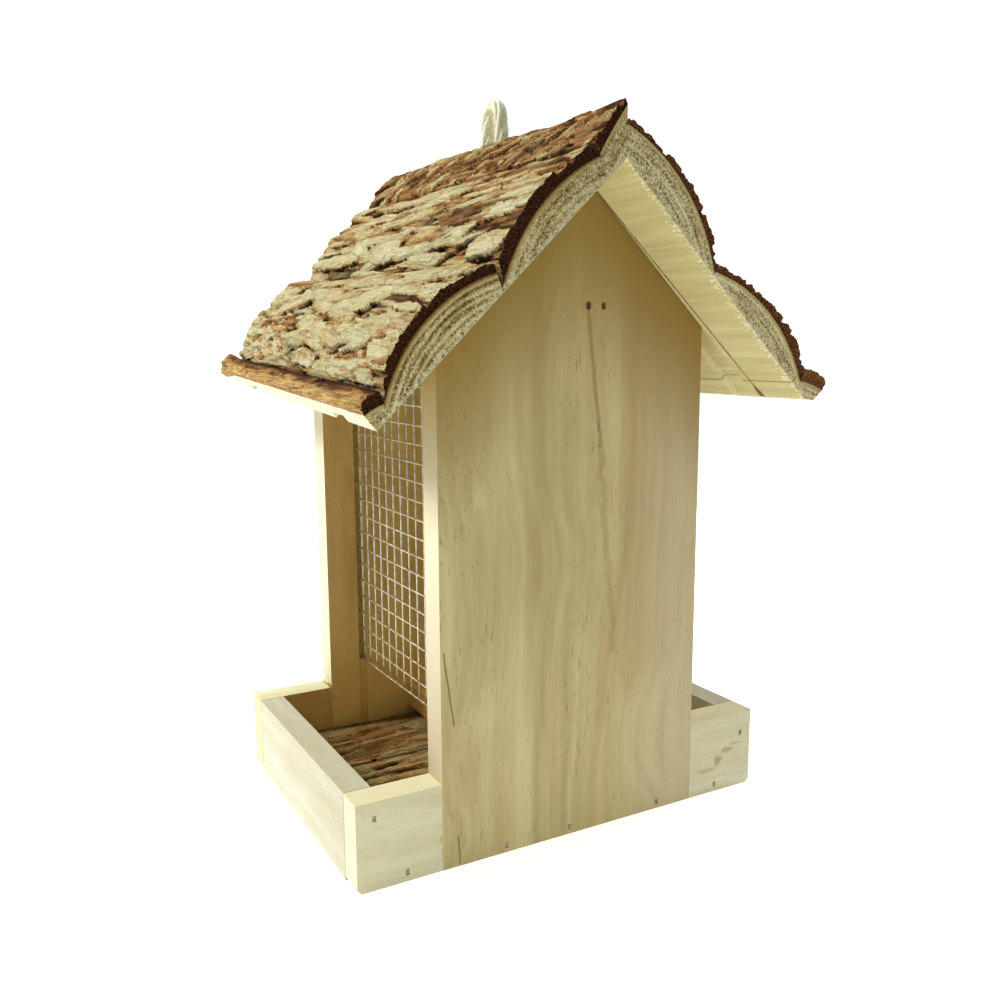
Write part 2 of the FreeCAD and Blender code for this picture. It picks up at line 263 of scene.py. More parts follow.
def board_wood(name, grain, light=(240, 238, 208), dark=(222, 216, 176), marks=None, blush=0.12,
               painted_light_edges=0.0, dash_strength=0.6):
    """Pale sawn softwood: broad bands, fine streaks and short dark dashes along the grain; flecked ends. Faces
    square to X can be drawn paler, as painted light on the lit sides.
    """
    f = Finish(name, 0.72, specular=0.22)
    straight = f.position
    bend = [0.0 if axis == grain else GRAIN_BEND for axis in "XYZ"]
    wander = f.noise((0.014, 0.014, 0.014), 1.0) - 0.5
    f.position = f.out("ShaderNodeVectorMath", {0: wander, 1: bend, 2: straight}, operation="MULTIPLY_ADD")
    streak = f.noise(scaled(grain, 0.30, 0.7))
    fine = f.noise(scaled(grain, 2.2), 3.0, 0.6)
    dash = f.noise(scaled(grain, 1.6, 3.0), 2.0, 0.5)
    where = f.noise(scaled(grain, 0.06, 5.0), 3.0)
    tone = f.noise(scaled(grain, 0.05), 3.0, distortion=0.5) * 0.65 + streak * 0.35
    side = f.ramp(tone, [(0.38, dark), (0.5, average(light, dark)), (0.62, light)])
    side = f.tint(side, f.noise(scaled(grain, 0.045), 2.0), 0.48, 0.66, (198, 158, 108), blush)
    dashes = f.between(dash, 0.61, 0.70) * f.between(where, 0.48, 0.62, 0.06, dash_strength)
    side = f.shade(f.mix(dashes, side, (128, 98, 56)), fine, 0.3, 0.7, 0.96, 1.03)
    grit = f.noise((2.2, 2.2, 2.2), 5.0, 0.7) * 0.75 + f.noise((0.5, 0.5, 0.5), 2.0) * 0.25
    end = f.ramp(grit, [(0.36, [c * 0.95 for c in dark]), (0.5, dark), (0.62, light)])
    # Painted light: the faces square to X are drawn paler, as if lit.
    if painted_light_edges:
        side = f.mix(f.facing("X") * painted_light_edges, side, (244, 238, 212))
    colour = f.mix(f.facing(grain, low=0.75), side, end)
    f.position = straight
    # The marks add real marks and, on some boards, painted light and shade.
    if marks:
        colour = marks(f, colour)
    return f.finish(colour, fine * 0.5 + streak * 0.5, 0.12, f.between(streak, 0.3, 0.7, 0.62, 0.82))


def blotch(f, colour, centre, reach, tone, strength, ragged=0.5):
    """A soft mark of another colour round a point, its edge broken by noise. Sizes in mm."""
    shift = f.out("ShaderNodeVectorMath", {0: f.position, 1: [c * MM for c in centre]}, operation="SUBTRACT")
    near = f.stretch(*[1 / r for r in reach], shift)
    size = f.out("ShaderNodeVectorMath", {0: near}, "Value", operation="LENGTH")
    edge = (f.noise((0.7, 0.7, 0.16)) - 0.5) * (2 * ragged)
    return f.tint(colour, size + edge, 1.0, 0.35, tone, strength, True)


def segment_line(f, colour, a, b, width, tone, wander=0.5, strength=1.0):
    """A thin dark line between two points of a face of constant Y, given as (x, z)."""
    x, _, z = f.place()
    wave = (f.noise((0.0, 0.0, 0.12), 1.0) - 0.5) * (2 * wander)
    line_x = f.between(z, b[1], a[1], 1.0, 0.0) * (b[0] - a[0]) + a[0]
    near = f.between(abs(x - (line_x + wave)), width * 0.3, width, strength, 0.0, True)
    low, high = sorted((a[1], b[1]))
    inside = f.between(z, low - 1, low) * f.between(z, high + 1, high)
    return f.mix(near * inside, colour, tone)


def gable_marks_and_shade(f, colour):
    """Cracks and the bar's brad holes; painted shade, warm and dark, just below the roof's overhang; painted
    light, paler towards the right; painted shade low on the side edges.
    """
    crack = (104, 80, 48)
    colour = segment_line(f, colour, (3.4, 170.0), (8.5, 128.0), 1.1, (132, 98, 52), 0.9, 0.4)
    colour = segment_line(f, colour, (8.5, 128.0), (14.5, 60.0), 1.8, (140, 108, 62), 2.6, 0.2)
    colour = blotch(f, colour, (3.5, -HALF_DEPTH, BAR_Z), (1.8, 3.0, 1.9), (84, 62, 36), 0.8, 0.25)
    colour = blotch(f, colour, (9.1, -HALF_DEPTH, BAR_Z), (1.4, 3.0, 1.5), (84, 62, 36), 0.7, 0.25)
    colour = segment_line(f, colour, (-47.3, 68.7), (-44.1, 46.2), 0.45, crack, strength=0.6)
    colour = segment_line(f, colour, (-43.1, 9.7), (-42.5, 1.2), 0.4, crack, strength=0.6)
    x, _, z = f.place()
    # Painted light: the board is drawn paler towards its right side.
    colour = f.tint(colour, x, 8, 40, (222, 212, 184), 0.35, True)
    # Painted shade of the roof's overhang: warm and dark just below the roof.
    height_to_roof = abs(x) * math.tan(SLOPE) + z - APEX
    colour = f.tint(colour, height_to_roof, -66, 0, (160, 134, 70), 0.95, True)
    # Painted shade: the side edges are darkened towards the bottom.
    low_edge_shade = f.between(z, 120, 20, smooth=True) * f.facing("X")
    return f.mix(low_edge_shade, colour, (226, 218, 212), "MULTIPLY")


def inside_painted_light(f, colour):
    """Painted light: the lower part of the inner face is drawn paler."""
    low = f.between(f.place()[2], 80, 15, 0.0, 0.8, True)
    return f.mix(low * f.facing("Y", -1), colour, (255, 232, 166))


def inside_painted_shade(f, colour):
    """Painted shade: the tray's inner face is darker and warmer than its other faces."""
    return f.mix(f.facing("Y", -1) * 0.85, colour, (232, 196, 124))


def rail_marks_and_top_light(f, colour):
    """The curl of grain past a knot, on the front of the right rail, and paler ends; the tops are drawn
    lighter as painted light from above.
    """
    for (x, z), (reach_x, reach_z), strength in (
            ((56.0, 8.6), (5.0, 1.6), 0.35), ((61.3, 11.5), (2.6, 2.6), 0.5),
            ((65.4, 14.6), (3.4, 1.3), 0.45), ((68.6, 16.4), (3.0, 0.9), 0.3)):
        colour = blotch(f, colour, (x, -HALF_DEPTH, z), (reach_x, 3.0, reach_z), (176, 138, 74), strength, 0.8)
    colour = f.mix(f.facing("X") * 0.7, colour, (226, 224, 204))
    # Painted light: the tops are drawn lighter, as if lit from above.
    return f.mix(f.facing("Z", 1) * 0.6, colour, (250, 244, 208))


def end_marks(f, colour):
    """The dark joint lines where an end board meets the rails."""
    return f.tint(colour, abs(f.place()[1]), INNER_Y - 0.6, INNER_Y - 0.2, (142, 112, 66), 0.6)


END_TONES = {-1: ((118, 96, 54), (172, 153, 98), (216, 199, 142), (248, 239, 192)),
             1: ((122, 99, 58), (194, 176, 120), (238, 225, 172), (255, 252, 214))}
KERF_DRIFT = 0.042              # how far the saw line leaves the gable, for each mm down the slope
SEAM_ALONG = 92.2               # the joint of the lower slab and the eave slab


def slab_wood(name, side, centre, radius, band, pale, rings):
    """Rough-sawn slab: pale long grain under the roof, and end grain with rings that follow the bark. Painted
    light pales the groove walls square to Y, and on the right slabs painted shade draws the saw groove beside
    the gable.
    """
    f = Finish(name, 0.8, specular=0.2)
    x, y, z = f.place()
    streak = f.noise((0.4, 0.02, 0.4))
    fine = f.noise((2.4, 0.1, 2.4), 3.0, 0.6)
    chatter = f.noise((0.12, 1.1, 0.12), 2.0)
    curls = f.noise((0.62, 0.3, 0.5), 2.0, 0.6, 2.0)
    speck = f.noise((1.5, 0.6, 1.5), 3.0, 0.6)
    tufts = f.between(f.noise((0.9, 0.3, 0.9), 3.0), 0.40, 0.62)
    fuzz = f.ramp(f.noise((1.3, 0.5, 1.3), 4.0, 0.7),
                  [(0.36, (196, 180, 124)), (0.47, (230, 220, 170)), (0.56, (252, 248, 218))])

    long_side = f.ramp(streak, [(0.3, (212, 202, 150)), (0.5, (222, 213, 162)), (0.7, (232, 226, 180))])
    long_side = f.shade(f.mix(pale, long_side, (255, 253, 242)), fine, 0.3, 0.7, 0.975, 1.015)

    dx, dz = x - centre[0], z - centre[1]
    away = (dx * dx + dz * dz).root()
    polar = f.out("ShaderNodeCombineXYZ", {0: away * 0.7, 1: dz.angle_from(dx) * radius * 0.05})
    ringed = f.noise(polar, 2.0, 0.6)
    wave = (away * 3.3 + ringed * 5.0).sine()
    wave_share = 0.5 if rings > 0.4 else 0.22
    ringed = ringed * (1 - wave_share) + f.between(wave, -1.0, 1.0, 0.28 * wave_share, 0.72 * wave_share)
    loops = f.between(abs(curls - 0.5), 0.0, 0.06, 0.72, 0.38)
    grain = ringed * rings + loops * (0.67 * (1 - rings)) + speck * (0.33 * (1 - rings))
    end = f.ramp(grain, list(zip((0.40, 0.445, 0.50, 0.57), END_TONES[side])))
    depth = away + curls * 0.7 - (radius + 0.35)
    end = f.tint(end, depth, -1.6 * band, -0.6 * band, (214, 196, 134), 0.85, True)
    if band > 1:
        end = f.tint(end, depth, -1.1 * band, 0.0, (138, 98, 44), 0.95, True)
    end = f.tint(end, depth, -0.4 * band, 0.1, (104, 72, 38), 0.9, True)

    from_front = y - ROOF_FRONT
    long_side = f.tint(long_side, from_front - tufts * 3.8, 0.5, -0.1, fuzz, 0.85)
    x_out, rise = x * side, z - APEX
    up = x_out * math.sin(SLOPE) + rise * math.cos(SLOPE)
    along = x_out * math.cos(SLOPE) - rise * math.sin(SLOPE)
    end = f.tint(end, up - tufts * 2.0, 0.6, -0.2, fuzz, 0.75)
    at_back = f.between(y, ROOF_BACK - 0.1, ROOF_BACK - 0.05)
    is_end = f.between(from_front, 0.06, 0.02).at_least(at_back)
    # Painted light: faces square to Y, the groove wall beside the gable, are drawn pale to hide their shade.
    long_side = f.mix(f.facing("Y") * 0.4, long_side, (255, 252, 224))
    colour = f.mix(is_end, long_side, end)
    if side > 0:
        # Painted shade of the saw groove beside the gable, which the mesh lacks: a dark line that widens at
        # the notch near the eave.
        kerf = from_front + along * KERF_DRIFT + (HALF_DEPTH + 0.1 + ROOF_FRONT)
        notch = f.between(along, 94.0, 97.0, 0.0, 0.8)
        from_kerf_shade = abs(kerf) - f.between(streak, 0.35, 0.65) * 0.3 - notch
        colour = f.tint(colour, from_kerf_shade, 0.3, 0.05, (104, 80, 44), 0.8)
        colour = f.tint(colour, abs(along + streak * 0.8 - SEAM_ALONG), 0.3, 0.1, (112, 88, 50), 0.7)
    return f.finish(colour, f.mix(is_end, fine * 0.3 + chatter * 0.18, grain), 0.5)


def bark_top(name, dull=0.0, orange=0.0, stain=0.0):
    """Flaky bark, coloured by each flake's own tone, its depth between flakes (brown lower layers with painted
    shade), painted shadow under flake edges and in cracks, and fibres along the trunk.
    """
    f = Finish(name, 0.9, specular=0.12)
    patch = f.noise((0.14, 0.05, 0.14), 3.0, 0.6)
    fibre = f.noise((1.9, 0.15, 1.9), 5.0, 0.68)
    fleck = f.noise((2.4, 0.9, 2.4), 4.0, 0.7)
    split = f.noise((0.9, 0.07, 0.9), 4.0, 0.6, 0.4)
    value = f.attribute("tone") + (patch - 0.5) * 0.55 + (fibre - 0.5) * 0.55 - orange
    colour = f.ramp(value, [(0.0, (84, 54, 30)), (0.2, (144, 104, 62)), (0.38, (182, 144, 92)),
                            (0.55, (202, 183, 136)), (0.75, (206, 197, 155)), (1.0, (216, 209, 172))])
    colour = f.tint(colour, f.noise((0.1, 0.04, 0.1), 3.0), 0.48, 0.66, (176, 177, 138), 0.35 + dull)
    colour = f.shade(f.mix(stain, colour, (126, 100, 56)), fibre, 0.36, 0.62, 0.78, 1.08)
    colour = f.tint(colour, fleck, 0.55, 0.68, (116, 84, 50), 0.4)
    colour = f.tint(colour, abs(split - 0.5), 0.016, 0.0, (78, 52, 30), 0.3)
    # Brown lower layers, and painted shade, in the hollows between flakes.
    colour = f.tint(colour, f.attribute("hollow_and_shade"), 0.05, 0.6, (116, 78, 44), 0.6, True)
    # Painted shadow under flake edges and in cracks.
    colour = f.tint(colour, f.attribute("painted_edge_shadow"), 0.12, 0.6, (58, 39, 24), 0.88, True)
    return f.finish(colour, fibre * 0.75 + fleck * 0.25, 0.35)


def bark_eave(name):
    """The eave's split edge: dark bark at its inner side, then stringy ochre inner bark."""
    f = Finish(name, 0.85, specular=0.15)
    fibre = f.noise((1.6, 0.07, 1.6), 5.0, 0.68)
    patch = f.noise((0.5, 0.05, 0.5), 3.0)
    colour = f.ramp(f.attribute("across") + (patch - 0.5) * 0.9,
                    [(0.26, (78, 50, 28)), (0.44, (122, 86, 52)), (0.58, (182, 142, 88)),
                     (0.76, (214, 182, 124)), (0.95, (204, 166, 110))])
    colour = f.shade(colour, fibre, 0.36, 0.62, 0.5, 1.12)
    # Painted shadow under flake edges and in cracks.
    colour = f.tint(colour, f.attribute("painted_edge_shadow"), 0.12, 0.6, (60, 38, 20), 0.8)
    return f.finish(colour, fibre, 0.35)


def bark_cut(name, light=0.0):
    """The sawn end of the bark: dark red-brown, crumbly, with pale corky specks."""
    f = Finish(name, 0.95, specular=0.1)
    speck = f.noise((1.6, 1.6, 1.6), 6.0, 0.75)
    colour = f.ramp(speck + light, [(0.36, (34, 19, 11)), (0.48, (72, 44, 26)), (0.58, (106, 70, 40)),
                                    (0.7, (170, 124, 76))])
    return f.finish(colour, speck, 0.5)


def wire_metal(name):
    """Galvanised wire: bright zinc with dull spangle."""
    f = Finish(name, metallic=0.85, specular=0.5)
    spangle = f.noise((0.5, 0.5, 0.5))
    colour = f.ramp(spangle, [(0.35, (196, 190, 170)), (0.6, (238, 234, 218))])
    return f.finish(colour, spangle, 0.05, f.between(spangle, 0.3, 0.7, 0.28, 0.5))


def brad_metal(name):
    """Grey brad wire with a little rust where the air reaches it."""
    f = Finish(name, metallic=0.25, specular=0.4)
    rust = f.noise((1.1, 1.1, 1.1), 5.0, 0.65)
    colour = f.ramp(rust, [(0.4, (186, 180, 158)), (0.55, (150, 142, 118)), (0.66, (122, 92, 60))])
    return f.finish(colour, rust, 0.08, f.between(rust, 0.4, 0.7, 0.35, 0.8))


def rope_fibre(name):
    """Soft natural fibre, cream, drawn greenish-grey as painted shade in the grooves between strands and
    threads, with some random variation.
    """
    f = Finish(name, 0.9, specular=0.15)
    f.feed(f.shader, {"Sheen Weight": 0.25})
    noise = f.noise((1.6, 1.6, 0.5), 5.0, 0.7)
    colour = f.ramp(noise, [(0.36, (214, 212, 160)), (0.43, (250, 249, 214)), (0.5, (255, 255, 236))])
    # Painted shade: the grooves between strands and threads are drawn greenish-grey.
    colour = f.tint(colour, f.attribute("thread"), 0.1, -0.5, (206, 202, 156), 0.3, True)
    return f.finish(colour, noise, 0.15)


# ---- Mesh helpers ----------------------------------------------------------
def new_piece(name, points, faces, materials, body, replaced=(), face_materials=None, smooth=False):
    """A mesh piece from points in mm, riding on its body and standing for its CAD nodes."""
    mesh = bpy.data.meshes.new(name)
    mesh.from_pydata((np.asarray(points) * MM).tolist(), [], faces)
    for material in materials:
        mesh.materials.append(material)
    if face_materials is not None:
        mesh.polygons.foreach_set("material_index", face_materials)
    mesh.polygons.foreach_set("use_smooth", [smooth] * len(mesh.polygons))
    mesh.update()
    piece = bpy.data.objects.new(name, mesh)
    scene.collection.objects.link(piece)
    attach(piece, body)
    if replaced:
        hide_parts(*replaced)
    return piece


def set_attribute(piece, name, values):
    made = piece.data.attributes.new(name, "FLOAT", "POINT")
    made.data.foreach_set("value", np.asarray(values, np.float32))


def unit(vectors):
    """Each vector at length one."""
    return vectors / np.linalg.norm(vectors, axis=-1, keepdims=True)


def ring_turns(around):
    return FULL_TURN * np.arange(around) / around


def rings(centre, first, second, radius, turns):
    """Points of a tube: at each place of its path, a ring in the plane of two cross directions."""
    return (centre[..., None, :] + first[..., None, :] * (radius * np.cos(turns))[..., None]
            + second[..., None, :] * (radius * np.sin(turns))[..., None]).reshape(-1, 3)


def tube_faces(count, around, offset=0, end="cap"):
    """Faces over so many rings of points. The far end is a cap, a tip or, in a loop, the first ring."""
    faces = []
    for i in range(count if end == "loop" else count - 1):
        a, b = offset + i * around, offset + (i + 1) % count * around
        faces += [(a + j, a + (j + 1) % around, b + (j + 1) % around, b + j) for j in range(around)]
    last = offset + (count - 1) * around
    if end != "loop":
        faces.append(tuple(range(offset, offset + around))[::-1])
    if end == "cap":
        faces.append(tuple(range(last, last + around)))
    if end == "tip":
        faces += [(last + j, last + (j + 1) % around, last + around) for j in range(around)]
    return faces


def tube_frames(path):
    """Tangents and two cross directions that don't twist, at each point of a path."""
    tangent = unit(np.gradient(path, axis=0))
    first = np.zeros_like(path)
    first[0] = unit(np.cross(tangent[0], (1.0, 0.0, 0.0)))
    for i in range(1, len(path)):
        first[i] = unit(first[i - 1] - tangent[i] * (first[i - 1] @ tangent[i]))
    return tangent, first, np.cross(tangent, first)


def hairs(starts, directions, length, width, rng):
    """Thin tapering three-sided fibres, bent at random. Starts and directions in mm."""
    t = np.arange(4)[:, None] / 3
    points, faces = [], []
    for start, direction in zip(starts, directions):
        direction = unit(np.asarray(direction, float))
        reach = rng.uniform(*length)
        bend = rng.normal(0, 0.35, 3)
        first = unit(np.cross(direction, rng.normal(0, 1, 3)))
        middle = np.asarray(start) + direction * reach * t + bend * reach * t * t
        faces += tube_faces(3, 3, len(points), "tip")
        points += rings(middle[:3], first, np.cross(direction, first), width * (1 - 0.8 * t[:3]),
                        ring_turns(3)).tolist()
        points.append(middle[3].tolist())
    return points, faces


def circle_through(a, b, c):
    """Centre and radius of the circle through three points of a plane."""
    ax, ay, bx, by, cx, cy = *a, *b, *c
    d = 2 * (ax * (by - cy) + bx * (cy - ay) + cx * (ay - by))
    a2, b2, c2 = ax * ax + ay * ay, bx * bx + by * by, cx * cx + cy * cy
    centre = np.array([(a2 * (by - cy) + b2 * (cy - ay) + c2 * (ay - by)) / d,
                       (a2 * (cx - bx) + b2 * (ax - cx) + c2 * (bx - ax)) / d])
    return centre, float(np.hypot(*(np.array(a) - centre)))


def arc(a, b, c, count):
    """Evenly spaced points on the arc from a through b to c."""
    centre, radius = circle_through(a, b, c)
    start, _, end = np.unwrap([math.atan2(*(np.array(p) - centre)[::-1]) for p in (a, b, c)])
    turn = np.linspace(start, end, count)
    return centre + radius * np.stack([np.cos(turn), np.sin(turn)], 1)


def line(a, b, spacing):
    """Evenly spaced points from a to b, about so far apart."""
    count = max(2, int(math.dist(a, b) / spacing))
    return np.array(a) + (np.array(b) - np.array(a)) * np.linspace(0, 1, count)[:, None]


# ---- Bark relief: flakes laid over one another -----------------------------
class Relief:
    """Height, tone and cracks of bark on a grid; first axis across the trunk, second along it, in mm."""

    def __init__(self, across, along, seed, bend=1.0):
        self.a, self.y = across, along
        self.seed = seed
        self.A, self.Y = np.meshgrid(across, along, indexing="ij")
        self.wa = self.A + bend * (1.5 * fractal(self.A / 11, self.Y / 34, seed + 1)
                                   + 0.40 * fractal(self.A / 2.8, self.Y / 12, seed + 2, 3, True))
        self.wy = self.Y + bend * (3.5 * fractal(self.A / 8, self.Y / 16, seed + 3)
                                   + 1.6 * fractal(self.A / 1.8, self.Y / 5, seed + 4, 3, True))
        self.jag = (0.26 * fractal(self.wa / 3.4, self.wy / 9.0, seed + 5, 2, True)
                    + 0.22 * fractal(self.wa / 1.3, self.wy / 3.4, seed + 6, 3, True))
        self.strata = 0.14 * fractal(self.wa / 1.6, self.wy / 6.0, seed + 9, 3, True)
        self.crack = np.zeros_like(self.A)

    def plates(self, size_a, size_y, low, high, tone, depth, ledge, seed):
        """Plates that fill the surface, with jagged cracks between them and worn layers along each edge."""
        a = self.wa / size_a + 0.22 * self.jag
        y = self.wy / size_y + 0.7 * self.jag
        ia, iy = np.floor(a).astype(np.int64), np.floor(y).astype(np.int64)
        first, second = np.full(a.shape, 9.0), np.full(a.shape, 9.0)
        owner, off_a, off_y = np.zeros(a.shape, np.int64), np.zeros(a.shape), np.zeros(a.shape)
        for step_a in (-1, 0, 1):
            for step_y in (-1, 0, 1):
                ca, cy = ia + step_a, iy + step_y
                da = a - ca - 0.1 - 0.8 * lattice(ca, cy, seed)
                dy = y - cy - 0.1 - 0.8 * lattice(ca, cy, seed + 1)
                away = np.maximum(np.abs(da), np.abs(dy)) + 0.45 * np.minimum(np.abs(da), np.abs(dy))
                near = away < first
                second = np.where(near, first, np.minimum(second, away))
                first = np.where(near, away, first)
                owner = np.where(near, ca * 4096 + cy, owner)
                off_a, off_y = np.where(near, da, off_a), np.where(near, dy, off_y)
        gap = second - first + self.strata * 0.7
        chance = [lattice(owner, owner * 0 + 7, seed + k) for k in (2, 3, 4, 5)]
        layers = (gap < 0.26).astype(float) + (gap < 0.13)
        level = low + (high - low) * chance[0] + (chance[1] - 0.5) * off_a + (chance[2] - 0.5) * off_y
        split = np.clip(1 - gap / 0.04, 0, 1)
        self.height += level - ledge * layers - depth * split
        self.tone += tone[0] + tone[1] * (chance[3] * 2 - 1) - 0.13 * layers
        self.crack = np.maximum(self.crack, split * min(1.0, depth))

    def turned(self, part, ca, cy, half_a, half_y, angle):
        """A part of the grid in a flake's own axes, along it and across it, at 1 on its edges."""
        da, dy = self.wa[part] - ca, self.wy[part] - cy
        return ((dy * math.cos(angle) + da * math.sin(angle)) / half_y,
                (da * math.cos(angle) - dy * math.sin(angle)) / half_a)

    def flake(self, ca, cy, half_a, half_y, angle, top, tilt_a, tilt_y, tone, curl=0.0, square=3.0):
        """One flake with jagged edges and worn layers, where it lies above what is there."""
        reach = 1.5 * (half_a + half_y * abs(math.sin(angle))) + 2.5
        reach_y = 1.5 * half_y + 5
        i0, i1 = np.searchsorted(self.a, (ca - reach, ca + reach))
        j0, j1 = np.searchsorted(self.y, (cy - reach_y, cy + reach_y))
        if i1 <= i0 or j1 <= j0:
            return
        part = np.s_[i0:i1, j0:j1]
        u, v = self.turned(part, ca, cy, half_a, half_y, angle)
        edge = (np.abs(u) ** square + np.abs(v) ** square) ** (1 / square) + self.jag[part]
        worn = edge + self.strata[part]
        layers = (worn > 0.60).astype(float) + (worn > 0.80)
        level = top + tilt_a * v + tilt_y * u + curl * np.clip(edge, 0, 1) ** 4 - 0.20 * layers
        on = (edge < 1) & (level > self.height[part])
        self.height[part][on] = level[on]
        self.tone[part][on] = (tone - 0.13 * layers)[on]

    def scatter(self, per_flake, size_a, size_y, low, high, tones, rng, within=None, curl=0.25, turn=0.0):
        """Flakes at random, one to so many square mm, over the whole grid or a part of it."""
        a0, a1, y0, y1 = within or (self.a[0], self.a[-1], self.y[0], self.y[-1])
        width = a1 - a0 if within else np.ptp(self.a)
        for _ in range(int(width * (y1 - y0) / per_flake)):
            half_a = rng.uniform(*size_a)
            half_y = rng.uniform(*size_y)
            tone = np.clip(rng.normal(*tones), 0.0, 1.0)
            self.flake(rng.uniform(a0, a1), rng.uniform(y0, y1), half_a, half_y, rng.normal(turn, 0.09),
                       rng.uniform(low, high), rng.normal(0, 0.28), rng.normal(0, 0.22), tone,
                       curl * rng.uniform(-0.6, 1.0), rng.uniform(1.7, 3.0))

    def lower(self, near, depth):
        """A crack or a pit, as deep as the mask says."""
        self.height -= depth * near
        self.crack = np.maximum(self.crack, near)

    def fissure(self, spacing_a, spacing_y, width, depth, seed):
        """Wavy cracks along the trunk where a slow noise passes through zero."""
        field = np.abs(fractal(self.wa / spacing_a, self.wy / spacing_y, self.seed + seed, 3))
        gate = 2.2 * fractal(self.A / (2 * spacing_a), self.Y / (0.6 * spacing_y), self.seed + seed + 9, 2)
        self.lower(np.clip(1 - field / width, 0, 1) * np.clip(gate + 0.5, 0, 1), depth)

    def pit(self, ca, cy, half_a, half_y, angle, depth):
        """A gap where a flake has fallen out."""
        u, v = self.turned(np.s_[:, :], ca, cy, half_a, half_y, angle)
        self.lower(np.clip((1.0 - np.sqrt(u * u + v * v) - 0.8 * self.jag) * 2.5, 0, 1), depth)

    def terrace(self, step=0.42, share=0.62):
        """Thin layers: the height is drawn towards level steps, whose edges follow the jagged noise."""
        drift = 0.5 * fractal(self.A / 9, self.Y / 26, self.seed + 31) + 0.25 * self.jag
        level = np.floor((self.height + drift) / step) * step - drift
        self.height = (1 - share) * self.height + share * level

    def roughen(self, amount=1.0):
        self.height += amount * (0.16 * fractal(self.wa / 1.0, self.wy / 11.0, self.seed + 21, 3)
                                 + 0.05 * fractal(self.A / 1.3, self.Y / 3.0, self.seed + 22, 2))


CAP_LAYERS = 5                  # rows of faces over the bark's thickness on a sawn end
CAP_CRUMBLE = 0.35              # how far the sawn end's points stand back at most


def bark_piece(name, place, bounds_y, wood, bark, relief_of, body, materials, replaced, step=0.45, step_y=0.5):
    """A closed block of bark. place maps across-trunk points and heights, at each y, to X, Y, Z in mm.

    wood and bark are each (inner end, crest, outer end) of the arcs below and above the bark."""
    y = np.arange(bounds_y[0], bounds_y[1] + step_y / 2, step_y)
    y[-1] = bounds_y[1]
    inner = line(wood[0], bark[0], 0.8)[:-1]
    span = np.hypot(*np.diff(arc(*bark, 60), axis=0).T).sum()
    profile = np.concatenate([inner, arc(*bark, int(span / step) + 2), line(bark[2], wood[2], 0.5)[1:]])
    count, rows = len(profile), len(y)
    share = np.concatenate([[0], np.cumsum(np.hypot(*np.diff(profile, axis=0).T))])
    share /= share[-1]
    under_arc = arc(*wood, 400)
    under = np.stack([np.interp(share, np.linspace(0, 1, 400), under_arc[:, k]) for k in (0, 1)], 1)
    thickness = np.min(np.linalg.norm(profile[:, None] - under_arc[None, ::8], axis=2), axis=1)
    run = np.gradient(profile, axis=0)
    normal = np.stack([-run[:, 1], run[:, 0]], 1)
    for _ in range(3):
        normal[1:-1] = normal[:-2] + 2 * normal[1:-1] + normal[2:]
        normal = unit(normal)
    relief = relief_of(profile[:, 0] + 0.35 * np.maximum(0, bark[2][1] - profile[:, 1]) * (share > 0.6), y)
    fade = np.ones(count)
    fade[:len(inner)] = 0.0
    fade[-1] = 0.0
    height = np.maximum(relief.height, -0.82 * thickness[:, None]) * fade[:, None]
    raised = profile[:, None] + normal[:, None] * height[..., None]
    points = place(raised[..., 0], raised[..., 1], np.broadcast_to(y, height.shape)).reshape(-1, 3)
    # How far a point lies below its neighbours, for brown lower layers and painted shade; then painted shadow
    # below flake edges and in cracks.
    hollow_and_shade = np.clip((blurred(height, 1.8 / step, 3.0 / step_y) - height) / 1.2, -1, 1)
    painted_edge_shadow = np.maximum(np.clip((widened(height) - height) / 1.5 - 0.25, 0, 1), relief.crack * 0.35)

    index = np.arange(count * rows).reshape(count, rows)
    quads = np.stack([index[:-1, :-1], index[:-1, 1:], index[1:, 1:], index[1:, :-1]], -1).reshape(-1, 4)
    faces = [tuple(quad) for quad in quads.tolist()]
    top_faces = len(faces)
    rng = np.random.default_rng(relief.seed + 5)
    t = (np.arange(CAP_LAYERS) / CAP_LAYERS)[:, None]
    blocks, under_ends = [points], []
    for row, inward in ((0, 1), (rows - 1, -1)):
        low_points = place(under[:, 0], under[:, 1], np.full(count, y[row]))[1:-1, None]
        inside = low_points * (1 - t) + points[index[1:-1, row], None] * t
        inside[:, 1:, 1] += inward * rng.uniform(0.0, CAP_CRUMBLE, (count - 2, CAP_LAYERS - 1))
        column = np.repeat(index[:, row:row + 1], CAP_LAYERS + 1, axis=1)
        column[1:-1, :-1] = sum(map(len, blocks)) + np.arange(inside[..., 0].size).reshape(-1, CAP_LAYERS)
        blocks.append(inside.reshape(-1, 3))
        under_ends.append(column[:, 0].tolist())
        corners = np.stack([column[:-1, :-1], column[1:, :-1], column[1:, 1:], column[:-1, 1:]], -1)
        for corner in corners.reshape(-1, 4).tolist():
            ring = tuple(dict.fromkeys(corner))
            faces.append(ring if inward < 0 else ring[::-1])
    front, back = under_ends
    faces += [(front[i], front[i + 1], back[i + 1], back[i]) for i in range(1, count - 2)]
    faces.append(tuple(index[0, ::-1].tolist()) + (front[1], back[1]))
    faces.append(tuple(index[-1].tolist()) + (back[-2], front[-2]))

    piece = new_piece(name, np.concatenate(blocks), [face[::-1] for face in faces], materials, body,
                      replaced, [0] * top_faces + [1] * (len(faces) - top_faces))
    padding = np.zeros(sum(map(len, blocks[1:])))
    set_attribute(piece, "tone", np.concatenate([relief.tone.ravel(), padding]))
    set_attribute(piece, "across", np.concatenate([np.repeat(share, rows), padding + 0.5]))
    set_attribute(piece, "hollow_and_shade", np.concatenate([hollow_and_shade.ravel(), padding + 0.3]))
    set_attribute(piece, "painted_edge_shadow", np.concatenate([painted_edge_shadow.ravel(), padding]))


